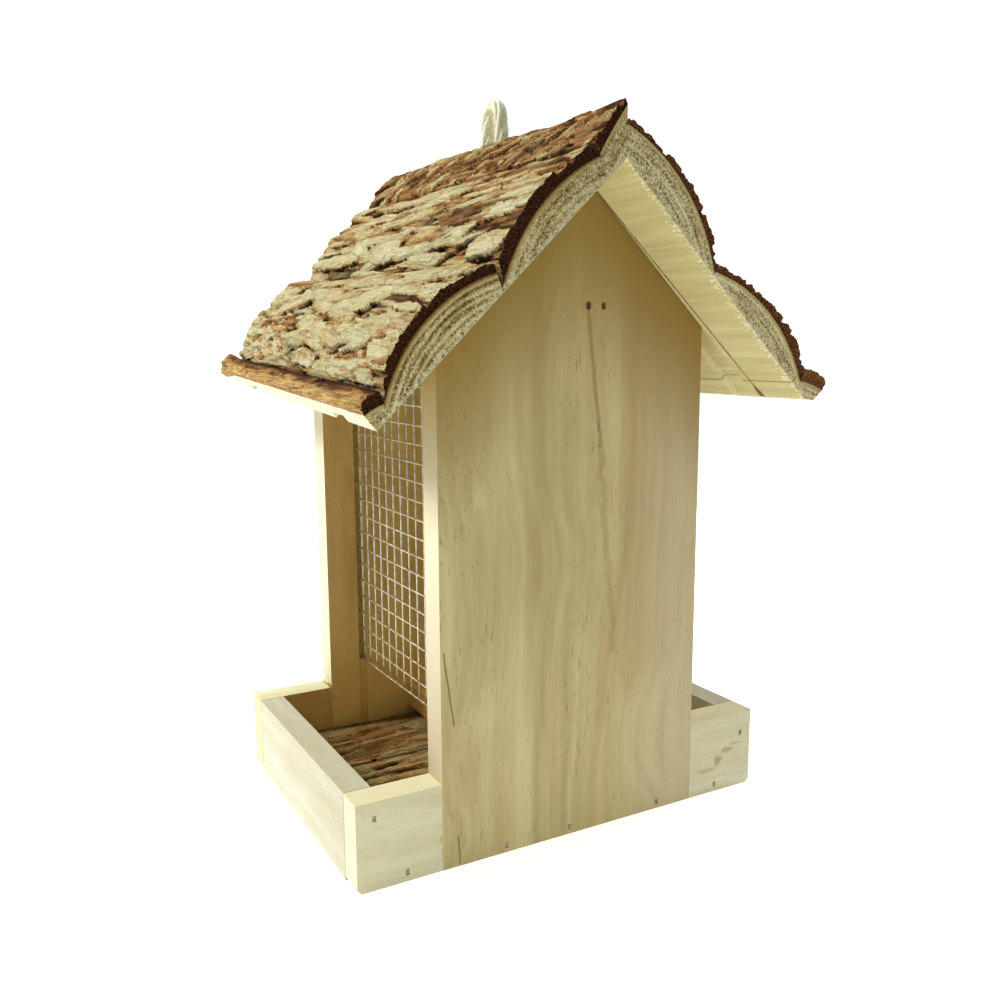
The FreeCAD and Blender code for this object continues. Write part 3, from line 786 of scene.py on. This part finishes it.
def slope_point(side, a, u):
    """X and Z of a point so far down the slope and above its underside."""
    return (side * (a * math.cos(SLOPE) + u * math.sin(SLOPE)),
            APEX - a * math.sin(SLOPE) + u * math.cos(SLOPE))


def roof_place(side):
    """Maps (along the slope, above its underside) at y to X, Y, Z, with the left side's taper."""
    def place(a, u, y):
        share = (y - ROOF_FRONT) / (ROOF_BACK - ROOF_FRONT)
        x, z = slope_point(side, a * np.where((a > 0) & (side < 0), 1 + (LEFT_TAPER - 1) * share, 1.0), u)
        return np.stack([x, y, z], -1)
    return place


def floor_place(a, u, x):
    return np.stack([x, a, u], -1)


def ridge_point(up):
    return (-up * math.tan(SLOPE), up)


# Each slab's end: (inner, crest, outer) of the wood's crown and of the bark's, as (along, up).
SLABS = {
    "left_ridge": ((ridge_point(10.3), (-1.8, 8.7), (6.3, 6.6)), ((-10.2, 11.9), (-3.0, 12.0), (5.6, 10.2))),
    "left_upper": (((6.42, 6.0), (28.0, 9.0), (53.8, 1.2)), ((5.6, 10.2), (27.0, 12.6), (50.7, 8.3))),
    "left_lower": (((52.1, 5.2), (72.0, 10.4), (98.8, 3.6)), ((50.7, 8.3), (74.0, 13.6), (96.6, 7.4))),
    "left_eave": (((98.8, 3.6), (101.6, 4.6), (104.4, 5.2)), ((96.6, 7.4), (101.0, 8.6), (105.0, 7.2))),
    "right_upper": ((ridge_point(6.6), (14.0, 10.2), (44.0, 1.0)),
                    (ridge_point(8.0), (14.0, 12.6), (44.6, 4.0))),
    "right_lower": (((44.7, 1.4), (64.0, 7.8), (94.0, 2.6)), ((44.6, 4.0), (68.0, 11.4), (93.6, 7.0))),
    "right_eave": (((94.0, 2.6), (98.8, 5.4), (103.6, 7.2)), ((93.6, 7.0), (98.5, 11.6), (104.6, 9.4)))}


def side_of(slab):
    """-1 for a slab left of the ridge and 1 for one right of it."""
    return -1 if slab.startswith("left") else 1


def flaky(seed, heroes=(), pits=(), pale=0.6, plate=(6.6, 44.0), fine_zone=None, swell=None):
    """Relief of thick flaky bark with the slab's own large flakes on top."""
    def make(across, along):
        r = Relief(across, along, seed)
        rng = np.random.default_rng(seed)
        r.height = -0.5 + 0.4 * fractal(r.A / 7, r.Y / 24, seed + 7)
        r.tone = 0.12 * fractal(r.A / 5, r.Y / 18, seed + 8)
        r.plates(*plate, -0.75, 0.35, (pale, 0.3), 1.0, 0.16, seed + 31)
        r.plates(plate[0] * 0.45, plate[1] * 0.7, -0.2, 0.15, (0.0, 0.10), 0.22, 0.08, seed + 47)
        r.scatter(90, (1.2, 3.4), (9, 26), -0.7, 0.25, (pale + 0.12, 0.2), rng)
        if fine_zone:
            r.scatter(22, (0.8, 2.2), (4.5, 12.0), -0.6, 0.3, (0.66, 0.2), rng, fine_zone)
        for hero in heroes:
            r.flake(*hero)
        for pit in pits:
            r.pit(*pit)
        r.terrace()
        if swell:
            r.height += swell(r.A, r.Y)
        r.roughen()
        return r
    return make


def fibrous(seed, tone, ledge, swell, turn=0.0):
    """Relief of thin stringy inner bark."""
    def make(across, along):
        r = Relief(across, along, seed, bend=0.7)
        rng = np.random.default_rng(seed)
        r.height = -0.9 + 0.35 * fractal(r.A / 3, r.Y / 30, seed + 7)
        r.tone = tone + 0.18 * fractal(r.A / 1.6, r.Y / 22, seed + 8)
        r.scatter(30, (0.5, 1.6), (7, 22), -0.9, ledge - 0.7, (tone + 0.05, 0.12), rng, curl=0.1,
                  turn=0.7 * turn)
        r.scatter(16, (0.5, 1.5), (3, 8), -0.8, ledge - 0.4, (tone + 0.12, 0.2), rng, curl=0.3,
                  turn=0.22 + turn)
        r.fissure(1.8, 22, 0.10, 0.6, 40)
        r.height += 0.16 * fractal(r.wa / 0.7, r.wy / 14, seed + 30, 3) + swell(r.A, r.Y)
        r.roughen(0.8)
        return r
    return make


# ---- Camera, lights and floor ----------------------------------------------
CAMERA_PLACE = (-0.1680, -0.3040, 0.1595)
YAW, PITCH, ROLL = (math.radians(a) for a in (29.268, -9.104, -0.283))
ahead = Vector((math.sin(YAW) * math.cos(PITCH), math.cos(YAW) * math.cos(PITCH), math.sin(PITCH)))
level_right = Vector((math.cos(YAW), -math.sin(YAW), 0.0))
level_up = level_right.cross(ahead)
cam_right = level_right * math.cos(ROLL) + level_up * math.sin(ROLL)
cam_up = level_up * math.cos(ROLL) - level_right * math.sin(ROLL)
camera_data = bpy.data.cameras.new("camera")
camera_data.lens = 35.0
camera_data.sensor_width = 36.0
camera_data.clip_start = 0.01
camera = bpy.data.objects.new("camera", camera_data)
camera_turn = Matrix((cam_right, cam_up, -ahead)).transposed()
camera.matrix_world = Matrix.Translation(CAMERA_PLACE) @ camera_turn.to_4x4()
scene.collection.objects.link(camera)
scene.camera = camera


def area_light(name, place, target_z, size, power):
    """A round light that points at a height above the origin."""
    data = bpy.data.lights.new(name, "AREA")
    data.shape = "DISK"
    data.size = size
    data.energy = power
    lamp = bpy.data.objects.new(name, data)
    lamp.location = place
    lamp.rotation_euler = (Vector((0, 0, target_z)) - Vector(place)).to_track_quat("-Z", "Y").to_euler()
    scene.collection.objects.link(lamp)


area_light("key", (-0.85, 0.55, 0.95), 0.12, 0.45, 15.0)
area_light("front", (0.32, -0.68, 1.28), 0.1, 0.9, 1.0)
area_light("top", (-0.1, 0.1, 1.4), 0.2, 0.8, 4.0)
area_light("right_fill", (0.95, 0.35, 1.0), 0.08, 0.6, 8.0)

SKY_LIGHT = 0.22                # what the white world gives to the object
SKY_SHOWN = 1.1                 # and to the camera
world = bpy.data.worlds.new("studio")
world.use_nodes = True
scene.world = world
sky = world.node_tree
backdrop = sky.nodes["Background"]
shown = sky.nodes.new("ShaderNodeBackground")
for background, strength in ((backdrop, SKY_LIGHT), (shown, SKY_SHOWN)):
    background.inputs["Color"].default_value = (1, 1, 1, 1)
    background.inputs["Strength"].default_value = strength
seen = sky.nodes.new("ShaderNodeLightPath")
either = sky.nodes.new("ShaderNodeMixShader")
sky.links.new(seen.outputs["Is Camera Ray"], either.inputs[0])
sky.links.new(backdrop.outputs[0], either.inputs[1])
sky.links.new(shown.outputs[0], either.inputs[2])
sky.links.new(either.outputs[0], sky.nodes["World Output"].inputs["Surface"])
scene.view_settings.view_transform = "Standard"
scene.view_settings.look = "None"
scene.view_settings.gamma = 0.85

FLOOR_RADIUS = 0.62
FLOOR_SIDES = 120
FLOOR_DROP = 0.0002
floor_mesh = bpy.data.meshes.new("studio_floor")
floor_rim = [(FLOOR_RADIUS * math.cos(turn), FLOOR_RADIUS * math.sin(turn), 0)
             for turn in ring_turns(FLOOR_SIDES).tolist()]
floor_mesh.from_pydata(floor_rim, [], [tuple(range(FLOOR_SIDES))])
floor = bpy.data.objects.new("studio_floor", floor_mesh)
floor.location.z = -FLOOR_DROP
scene.collection.objects.link(floor)
paper = Finish("studio_paper", 0.9, specular=0.1)
paper_tone = paper.ramp(paper.noise((0.004, 0.004, 0.004), 2.0),
                        [(0.3, (214, 214, 214)), (0.7, (222, 222, 222))])
paper.feed(paper.shader, {"Base Color": paper_tone, "Emission Color": (1, 1, 1, 1), "Emission Strength": 0.78})
floor_mesh.materials.append(paper.material)

# ---- Rope ------------------------------------------------------------------
ROPE_ROUTE = [(1.0, -4.6, ROPE_LOW), (0.8, -4.7, 193.0), (1.1, -4.5, 222.0), (1.0, -4.6, LOOP_LINE),
              (1.0, 4.6, LOOP_LINE), (0.9, 4.7, 222.5), (1.2, 4.5, 192.0), (1.0, 4.6, ROPE_LOW)]
route_data = bpy.data.curves.new("rope_route", "CURVE")
route_data.dimensions = "3D"
route_data.resolution_u = 24
spline = route_data.splines.new("NURBS")
spline.points.add(len(ROPE_ROUTE) - 1)
for point, (x, y, z) in zip(spline.points, ROPE_ROUTE):
    point.co = (x * MM, y * MM, z * MM, 1)
spline.order_u = 3
spline.use_endpoint_u = True
route_object = bpy.data.objects.new("rope_route", route_data)
scene.collection.objects.link(route_object)
bpy.context.view_layer.update()
route_mesh = bpy.data.meshes.new_from_object(route_object)
rope_line = np.array([v.co for v in route_mesh.vertices])
bpy.data.objects.remove(route_object)

STRANDS = 5
LAY = 44.0                      # the length in which a strand goes once round the rope
STRAND_OUT = 1.38               # from the rope's centre line to a strand's
STRAND_RADIUS = 0.94
THREAD_LAY = 3.1
AROUND_STRAND = 18


def twisted_rope(path_m):
    """Five-strand soft rope: each strand a tube of fine threads, laid round the path."""
    path = path_m / MM
    steps = np.concatenate([[0], np.cumsum(np.linalg.norm(np.diff(path, axis=0), axis=1))])
    along = np.arange(0, steps[-1], 0.35)
    along[-1] = steps[-1]
    path = np.stack([np.interp(along, steps, path[:, k]) for k in range(3)], 1)
    for _ in range(4):
        path[1:-1] = (path[:-2] + 2 * path[1:-1] + path[2:]) / 4
    tangent, first, second = tube_frames(path)
    turns = ring_turns(AROUND_STRAND)
    points, faces, thread = [], [], []
    for strand in range(STRANDS):
        phase = FULL_TURN * (strand / STRANDS + along / LAY)
        out = first * np.cos(phase)[:, None] + second * np.sin(phase)[:, None]
        fine = np.cos(6 * turns - FULL_TURN * along[:, None] / THREAD_LAY)
        uneven = value_noise(turns * 1.3 + strand * 9, along[:, None] / 1.7, 71)
        radius = STRAND_RADIUS + 0.05 * fine + 0.10 * uneven
        faces += tube_faces(len(along), AROUND_STRAND, strand * len(along) * AROUND_STRAND)
        points.append(rings(path + STRAND_OUT * out, out, np.cross(tangent, out), radius, turns))
        # Low where a strand faces the rope's core and between threads, with some noise: used for painted
        # shade.
        thread.append((0.5 * fine + 0.3 * uneven + 0.35 * np.cos(turns)).ravel())
    return np.concatenate(points), faces, np.concatenate(thread)


def below_loop_top(points):
    """Points held to the loop's top, where the hook lies."""
    return np.minimum(points, (np.inf, np.inf, LOOP_TOP))


rope_material = rope_fibre("rope_fibre")
rope_points, rope_faces, rope_thread = twisted_rope(rope_line)
rope_points = below_loop_top(rope_points)
rope = new_piece("hanging_rope_laid", rope_points, rope_faces, [rope_material], "hopper",
                 ("hanging_rope",), smooth=True)
set_attribute(rope, "thread", rope_thread)

KNOT_RINGS, AROUND_KNOT = 260, 16
KNOT_FRAYS = 50


def knot(name, strand_y, seed):
    """An overhand knot pulled tight: three lobes of laid rope wrapped on one another, frayed below."""
    centre = np.array([ROPE_X, strand_y, KNOT_Z])
    t = np.linspace(0, FULL_TURN, KNOT_RINGS, endpoint=False)
    loop = np.stack([0.86 * (np.sin(t) + 1.5 * np.sin(2 * t)), 0.86 * (np.cos(t) - 1.5 * np.cos(2 * t)),
                     -1.15 * np.sin(3 * t)], 1)
    tangent = unit(np.roll(loop, -1, 0) - np.roll(loop, 1, 0))
    first = unit(np.cross(tangent, (0, 0, 1.0)))
    turns = ring_turns(AROUND_KNOT)
    lobe = np.cos(3 * (turns + FULL_TURN * np.arange(KNOT_RINGS)[:, None] / 65))
    points = rings(loop + centre, first, np.cross(tangent, first), 1.75 + 0.16 * lobe, turns)
    faces = tube_faces(KNOT_RINGS, AROUND_KNOT, end="loop")
    rng = np.random.default_rng(seed)
    starts = [centre + (rng.normal(0, 0.8), rng.normal(0, 0.8), -2.6) for _ in range(KNOT_FRAYS)]
    directions = [(rng.normal(0, 0.5), rng.normal(0, 0.5), -1) for _ in starts]
    fray_points, fray_faces = hairs(starts, directions, (1.0, 2.2), 0.09, rng)
    faces += [tuple(v + len(points) for v in face) for face in fray_faces]
    piece = new_piece(name, points.tolist() + fray_points, faces, [rope_material], "hopper",
                      smooth=True)
    # Low in the grooves between the knot's lobes: used for painted shade.
    set_attribute(piece, "thread", (0.5 * lobe).ravel().tolist() + [0.4] * len(fray_points))
    return piece


knots = [knot("rope_knot_front", -STRAND_Y, 5), knot("rope_knot_back", STRAND_Y, 6)]
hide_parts("rope_knots")

FUZZ_LOW = 218.0
FUZZ_HAIRS = 2400
fuzz_rng = np.random.default_rng(12)
fuzz_roots = rope_points[rope_points[:, 2] > FUZZ_LOW]
fuzz_roots = fuzz_roots[fuzz_rng.choice(len(fuzz_roots), FUZZ_HAIRS, replace=False)]
fuzz_core = np.stack([np.full(FUZZ_HAIRS, ROPE_X), np.copysign(STRAND_Y, fuzz_roots[:, 1]),
                      np.minimum(fuzz_roots[:, 2], LOOP_LINE - 4)], 1)
outward = unit(fuzz_roots - fuzz_core)
fuzz_points, fuzz_faces = hairs(fuzz_roots - 0.1 * outward, outward + fuzz_rng.normal(0, 0.8, (FUZZ_HAIRS, 3)),
                                (0.7, 2.4), 0.055, fuzz_rng)
fuzz = new_piece("rope_fuzz", below_loop_top(fuzz_points), fuzz_faces, [rope_material], "hopper")
set_attribute(fuzz, "thread", [0.5] * len(fuzz_points))

# ---- Bark ------------------------------------------------------------------
# Large flakes: across, along, half width, half length, turn, height, tilts, tone, curl.
UPPER_HEROES = [
    (13, 20, 3.6, 34, 0.05, 0.1, 0.2, 0.1, 0.72, 0.2), (12, 72, 4, 14, 0, 0.2, -0.2, 0.2, 0.85, 0.3),
    (13, -54, 4.6, 19, 0.08, -0.2, 0.2, 0.1, 0.22, 0.2), (29, -44, 5, 17, 0.05, -0.2, 0.1, 0.1, 0.12, 0.2),
    (33.5, -63, 3, 8, 0.1, 0.45, -0.3, 0.2, 0.95, 0.4), (41, 12, 6, 15, -0.05, 0.35, 0.3, 0.2, 0.9, 0.35),
    (25, 12, 4.4, 24, 0.06, -0.1, 0.2, 0, 0.66, 0.2), (36.5, -18, 3.2, 15, 0.25, -0.1, 0.2, 0.1, 0.55, 0.2),
    (40.5, -40, 4.2, 10, 0.1, 0.3, 0.4, 0.1, 0.92, 0.4), (46, -66, 4.4, 10, 0.05, 0.1, 0.3, 0.2, 0.95, 0.3),
    (43, 52, 4, 16, 0.05, 0.1, 0.2, 0.2, 0.9, 0.3), (31, 44, 3.6, 17, 0, 0, -0.2, 0.1, 0.6, 0.2)]
LOWER_HEROES = [
    (57.5, -30, 4.6, 44, 0.02, -0.05, 0.2, 0.1, 0.86, 0.15), (56, 60, 4.2, 20, 0, 0.1, 0.2, 0.2, 0.5, 0.3),
    (69, -22, 6, 20, 0.05, 0.1, 0.2, 0.1, 0.88, 0.25), (71.5, -54, 3.4, 13, 0.05, 0, 0, 0.1, 0.12, 0.1),
    (84, -46, 4.8, 12, 0, 0.35, 0.3, 0.2, 0.98, 0.4), (93, -8, 2.6, 8, 0, 0.25, 0.3, 0.1, 0.98, 0.3),
    (80, 8, 4, 14, -0.05, 0.1, 0.2, 0.1, 0.8, 0.3), (66, 30, 4.6, 18, 0.05, 0, 0.2, 0.1, 0.7, 0.2)]
# Gaps between flakes: across, along, half width, half length, turn, depth.
UPPER_PITS = [(17.5, 54, 2, 6, 0.1, 2.4), (45.5, -52, 1.1, 17, 0.35, 2), (51, -66, 1.6, 8, 0, 1.6)]
LOWER_PITS = [(88, -33, 1.4, 9, 0.2, 1.5), (76, 30, 1, 8, 0, 1.5), (83, 26, 1.1, 7, 0.2, 1.4)]
LOWER_FINE_ZONE = (74, 97, -77, 82)


def ease(value, low, high):
    share = np.clip((value - low) / (high - low), 0, 1)
    return share * share * (3 - 2 * share)


def bump(a, centre, width):
    return np.exp(-((a - centre) / width) ** 2)


def ridge_swell(a, y):
    """The ridge strip thickens towards the back."""
    return 2.8 * ease(y, -60, 60) * ease(a, -13, -8)


def upper_swell(a, y):
    """Knobs along the back end of the upper slab."""
    knobs = bump(a, 14, 5.0) + bump(a, 31, 5.0) + 0.8 * bump(a, 44, 3.5)
    return 0.6 * ease(y, 0, 50) + 1.7 * knobs * ease(y, 30, 72)


def lower_swell(a, y):
    """The crest of the lower slab is thicker at the back."""
    return 1.9 * bump(a, 59, 6.0) * ease(y, 10, 70)


def eave_swell(a, y):
    """A lump of bark left at the back corner."""
    return 2.6 * ease(y, 68, 80) * ease(a, 97, 99)


def tip_swell(a, y):
    """The right eave's bark is worn thin."""
    return -0.6


bark_look = bark_top("bark_flaky")
stringy_look = bark_top("bark_stringy", dull=-0.15, orange=0.12)
grey_look = bark_top("bark_lower", dull=0.15)
cut_look = bark_cut("bark_sawn_end")
pale_cut_look = bark_cut("bark_sawn_end_right", 0.1)
ROOF_BARK = {
    "left_ridge": (fibrous(101, 0.42, 0.8, ridge_swell, 0.16), stringy_look, cut_look),
    "left_upper": (flaky(211, UPPER_HEROES, UPPER_PITS, 0.54, swell=upper_swell), bark_look, cut_look),
    "left_lower": (flaky(331, LOWER_HEROES, LOWER_PITS, 0.68, (5.4, 30.0), LOWER_FINE_ZONE, lower_swell),
                   grey_look, cut_look),
    "left_eave": (fibrous(401, 0.4, 0.5, eave_swell), bark_eave("bark_eave"), cut_look),
    "right_upper": (flaky(511, plate=(5.6, 34.0)), bark_look, pale_cut_look),
    "right_lower": (flaky(613, plate=(5.0, 30.0)), bark_look, pale_cut_look),
    "right_eave": (flaky(719, pale=0.5, plate=(3.0, 24.0), swell=tip_swell), bark_look,
                   bark_cut("bark_sawn_end_tip", 0.17))}
for slab, (relief, top_look, end_look) in ROOF_BARK.items():
    bark_piece("bark_" + slab, roof_place(side_of(slab)), (ROOF_FRONT, ROOF_BACK), *SLABS[slab], relief,
               "roof", [top_look, end_look], ("roof_bark_" + slab,))

# The wood's and then the bark's height at a slab's edges and at its middle.
FLOOR_SHAPES = ((6.5, 10.6), (11.5, 14.7))
floor_look = bark_top("bark_floor", dull=0.2, orange=0.12, stain=0.5)
for end, y0, y1, seed in (("front", -INNER_Y, FLOOR_JOINT_Y, 811), ("back", FLOOR_JOINT_Y, INNER_Y, 911)):
    wood_and_bark = [((y0, edge), ((y0 + y1) / 2, crest), (y1, edge)) for edge, crest in FLOOR_SHAPES]
    bark_piece("bark_floor_" + end, floor_place, (-INNER_X, INNER_X), *wood_and_bark,
               flaky(seed, pale=0.5, plate=(4.2, 30.0)), "hopper", [floor_look, cut_look],
               ("floor_bark_" + end,), step=0.6, step_y=0.7)

# ---- Wire mesh -------------------------------------------------------------
WIRE_RADIUS = 0.31
WIRE_SIDES = 8
WIRE_OFFSET = 0.24              # cross wires and uprights lie each side of the panel's middle
CROSS_POINTS, UPRIGHT_POINTS = 32, 44
MESH_TOP = MESH_BOTTOM + MESH_ROWS * CELL
wire_look = wire_metal("galvanised_wire")
for side, side_name in ((-1, "left"), (1, "right")):
    runs = []
    for row in range(MESH_ROWS + 1):
        ys = np.linspace(MESH_FRONT - 0.3, MESH_STUB_END - 0.1, CROSS_POINTS)
        sway = 0.04 * value_noise(ys / 14, row * 3.7 + 0 * ys, 55 + side)
        lift = 0.14 * value_noise(ys / 18, row * 5.1 + 0 * ys, 65 + side)
        runs.append(np.stack([side * MESH_X - WIRE_OFFSET + sway, ys, MESH_BOTTOM + row * CELL + lift], 1))
    for column in range(MESH_COLUMNS + 1):
        zs = np.linspace(MESH_BOTTOM - 0.3, MESH_TOP + 0.3, UPRIGHT_POINTS)
        sway = 0.14 * value_noise(zs / 20, column * 4.3 + 0 * zs, 75 + side)
        runs.append(np.stack([side * MESH_X + WIRE_OFFSET + 0 * zs, MESH_FRONT + column * CELL + sway, zs], 1))
    wire_points, wire_faces = [], []
    for run in runs:
        wire_faces += tube_faces(len(run), WIRE_SIDES, len(wire_points))
        wire_points += rings(run, *tube_frames(run)[1:], WIRE_RADIUS, ring_turns(WIRE_SIDES)).tolist()
    new_piece("mesh_wires_" + side_name, wire_points, wire_faces, [wire_look], "hopper",
              ("mesh_" + side_name,), smooth=True)


# ---- Wood and metal on the CAD nodes ---------------------------------------
def dress(name, material, bevel=0.25):
    """A material and softly worn edges for a CAD node."""
    node = nodes[name]
    node.data.materials.clear()
    node.data.materials.append(material)
    if bevel:
        edges = node.modifiers.new("worn_edges", "BEVEL")
        edges.width = bevel * MM
        edges.segments = 2
        edges.limit_method = "ANGLE"
        edges.angle_limit = math.radians(40)


dress("gable_front", board_wood("wood_gable", "Z", (222, 212, 163), (196, 181, 128), gable_marks_and_shade,
                                blush=0.3, painted_light_edges=0.8, dash_strength=0.4))
# The back gable's wood is a warmer, darker copy of the front gable's: painted shade of the hopper's inside.
dress("gable_back", board_wood("wood_gable_back", "Z", (222, 199, 138), (198, 169, 102), inside_painted_light,
                               blush=0.3, painted_light_edges=0.9))
front_rail = board_wood("wood_rail", "X", marks=rail_marks_and_top_light, dash_strength=0.2)
back_rail = board_wood("wood_rail_back", "X", marks=inside_painted_shade, dash_strength=0.2)
tray_end = board_wood("wood_end", "Y", (222, 221, 203), (207, 201, 172), end_marks,
                      blush=0.1, dash_strength=0.4)
for side_name in ("left", "right"):
    dress("tray_rail_front_" + side_name, front_rail, 0.5)
    dress("tray_rail_back_" + side_name, back_rail, 0.5)
    dress("tray_end_" + side_name, tray_end, 0.5)
floor_wood = board_wood("wood_floor", "X")
for end in ("front", "back"):
    dress("floor_slab_" + end, floor_wood)
dress("seed_divider", board_wood("wood_divider", "Y", (255, 226, 152), (240, 202, 126)))
dress("rope_bar", board_wood("wood_bar", "Y"))
dress("mesh_stop_sticks", board_wood("wood_stick", "Z", (246, 220, 156), (222, 190, 124)), 0)
steel = brad_metal("brad_wire")
for group in ("gable_to_floor", "gable_to_bar", "rail_to_floor", "rail_to_end", "ridge"):
    dress("brads_" + group, steel, 0.12)

# The inner bark's pale band is wider, and the rings stronger, on the left slabs' ends.
BANDS = {"left_lower": 1.25, "left_upper": 1.1}
RINGS = {"left_lower": 0.44, "left_upper": 0.36}
PALE = {"left_eave": 0.6}
for slab, (wood, _) in SLABS.items():
    (along, up), radius = circle_through(*wood)
    side = side_of(slab)
    dress("roof_slab_" + slab, slab_wood("wood_slab_" + slab, side, slope_point(side, along, up), radius,
                                         BANDS.get(slab, 0.8), PALE.get(slab, 0.0), RINGS.get(slab, 0.32)), 0)

# ---- Saw splinters left at the rails' joints with the gables ----------------
# A joint's y, the lowest and highest splinter, and how many.
SPLINTER_JOINTS = ((INNER_Y - 0.1, 17.0, 28.6, 34), (-HALF_DEPTH + 0.1, 3.0, 15.0, 16))
SPLINTER_WIDTH = 0.17
TUFT_HAIRS = 16
TUFT_Z = 28.2
rng = np.random.default_rng(61)
starts, ways = [], []
for joint_y, low_z, high_z, count in SPLINTER_JOINTS:
    for _ in range(count):
        starts.append((-HALF_WIDTH + rng.uniform(-0.3, 0.2), joint_y, rng.uniform(low_z, high_z)))
        ways.append((rng.normal(-0.5, 0.5), rng.uniform(-0.6, -0.1), rng.normal(0, 0.7)))
splinter_points, splinter_faces = hairs(starts, ways, (0.8, 2.0), SPLINTER_WIDTH, rng)
starts = [(-HALF_WIDTH - 0.2, INNER_Y + rng.uniform(0.2, 3.0), TUFT_Z) for _ in range(TUFT_HAIRS)]
ways = [(rng.normal(-0.3, 0.7), rng.normal(-0.3, 0.6), 0.8) for _ in starts]
tuft_points, tuft_faces = hairs(starts, ways, (2.2, 4.2), SPLINTER_WIDTH, rng)
splinter_faces += [tuple(v + len(splinter_points) for v in face) for face in tuft_faces]
splinter_wood = board_wood("wood_splinter", "Z", (255, 244, 200), (240, 222, 164))
new_piece("splinters", splinter_points + tuft_points, splinter_faces, [splinter_wood], "hopper")
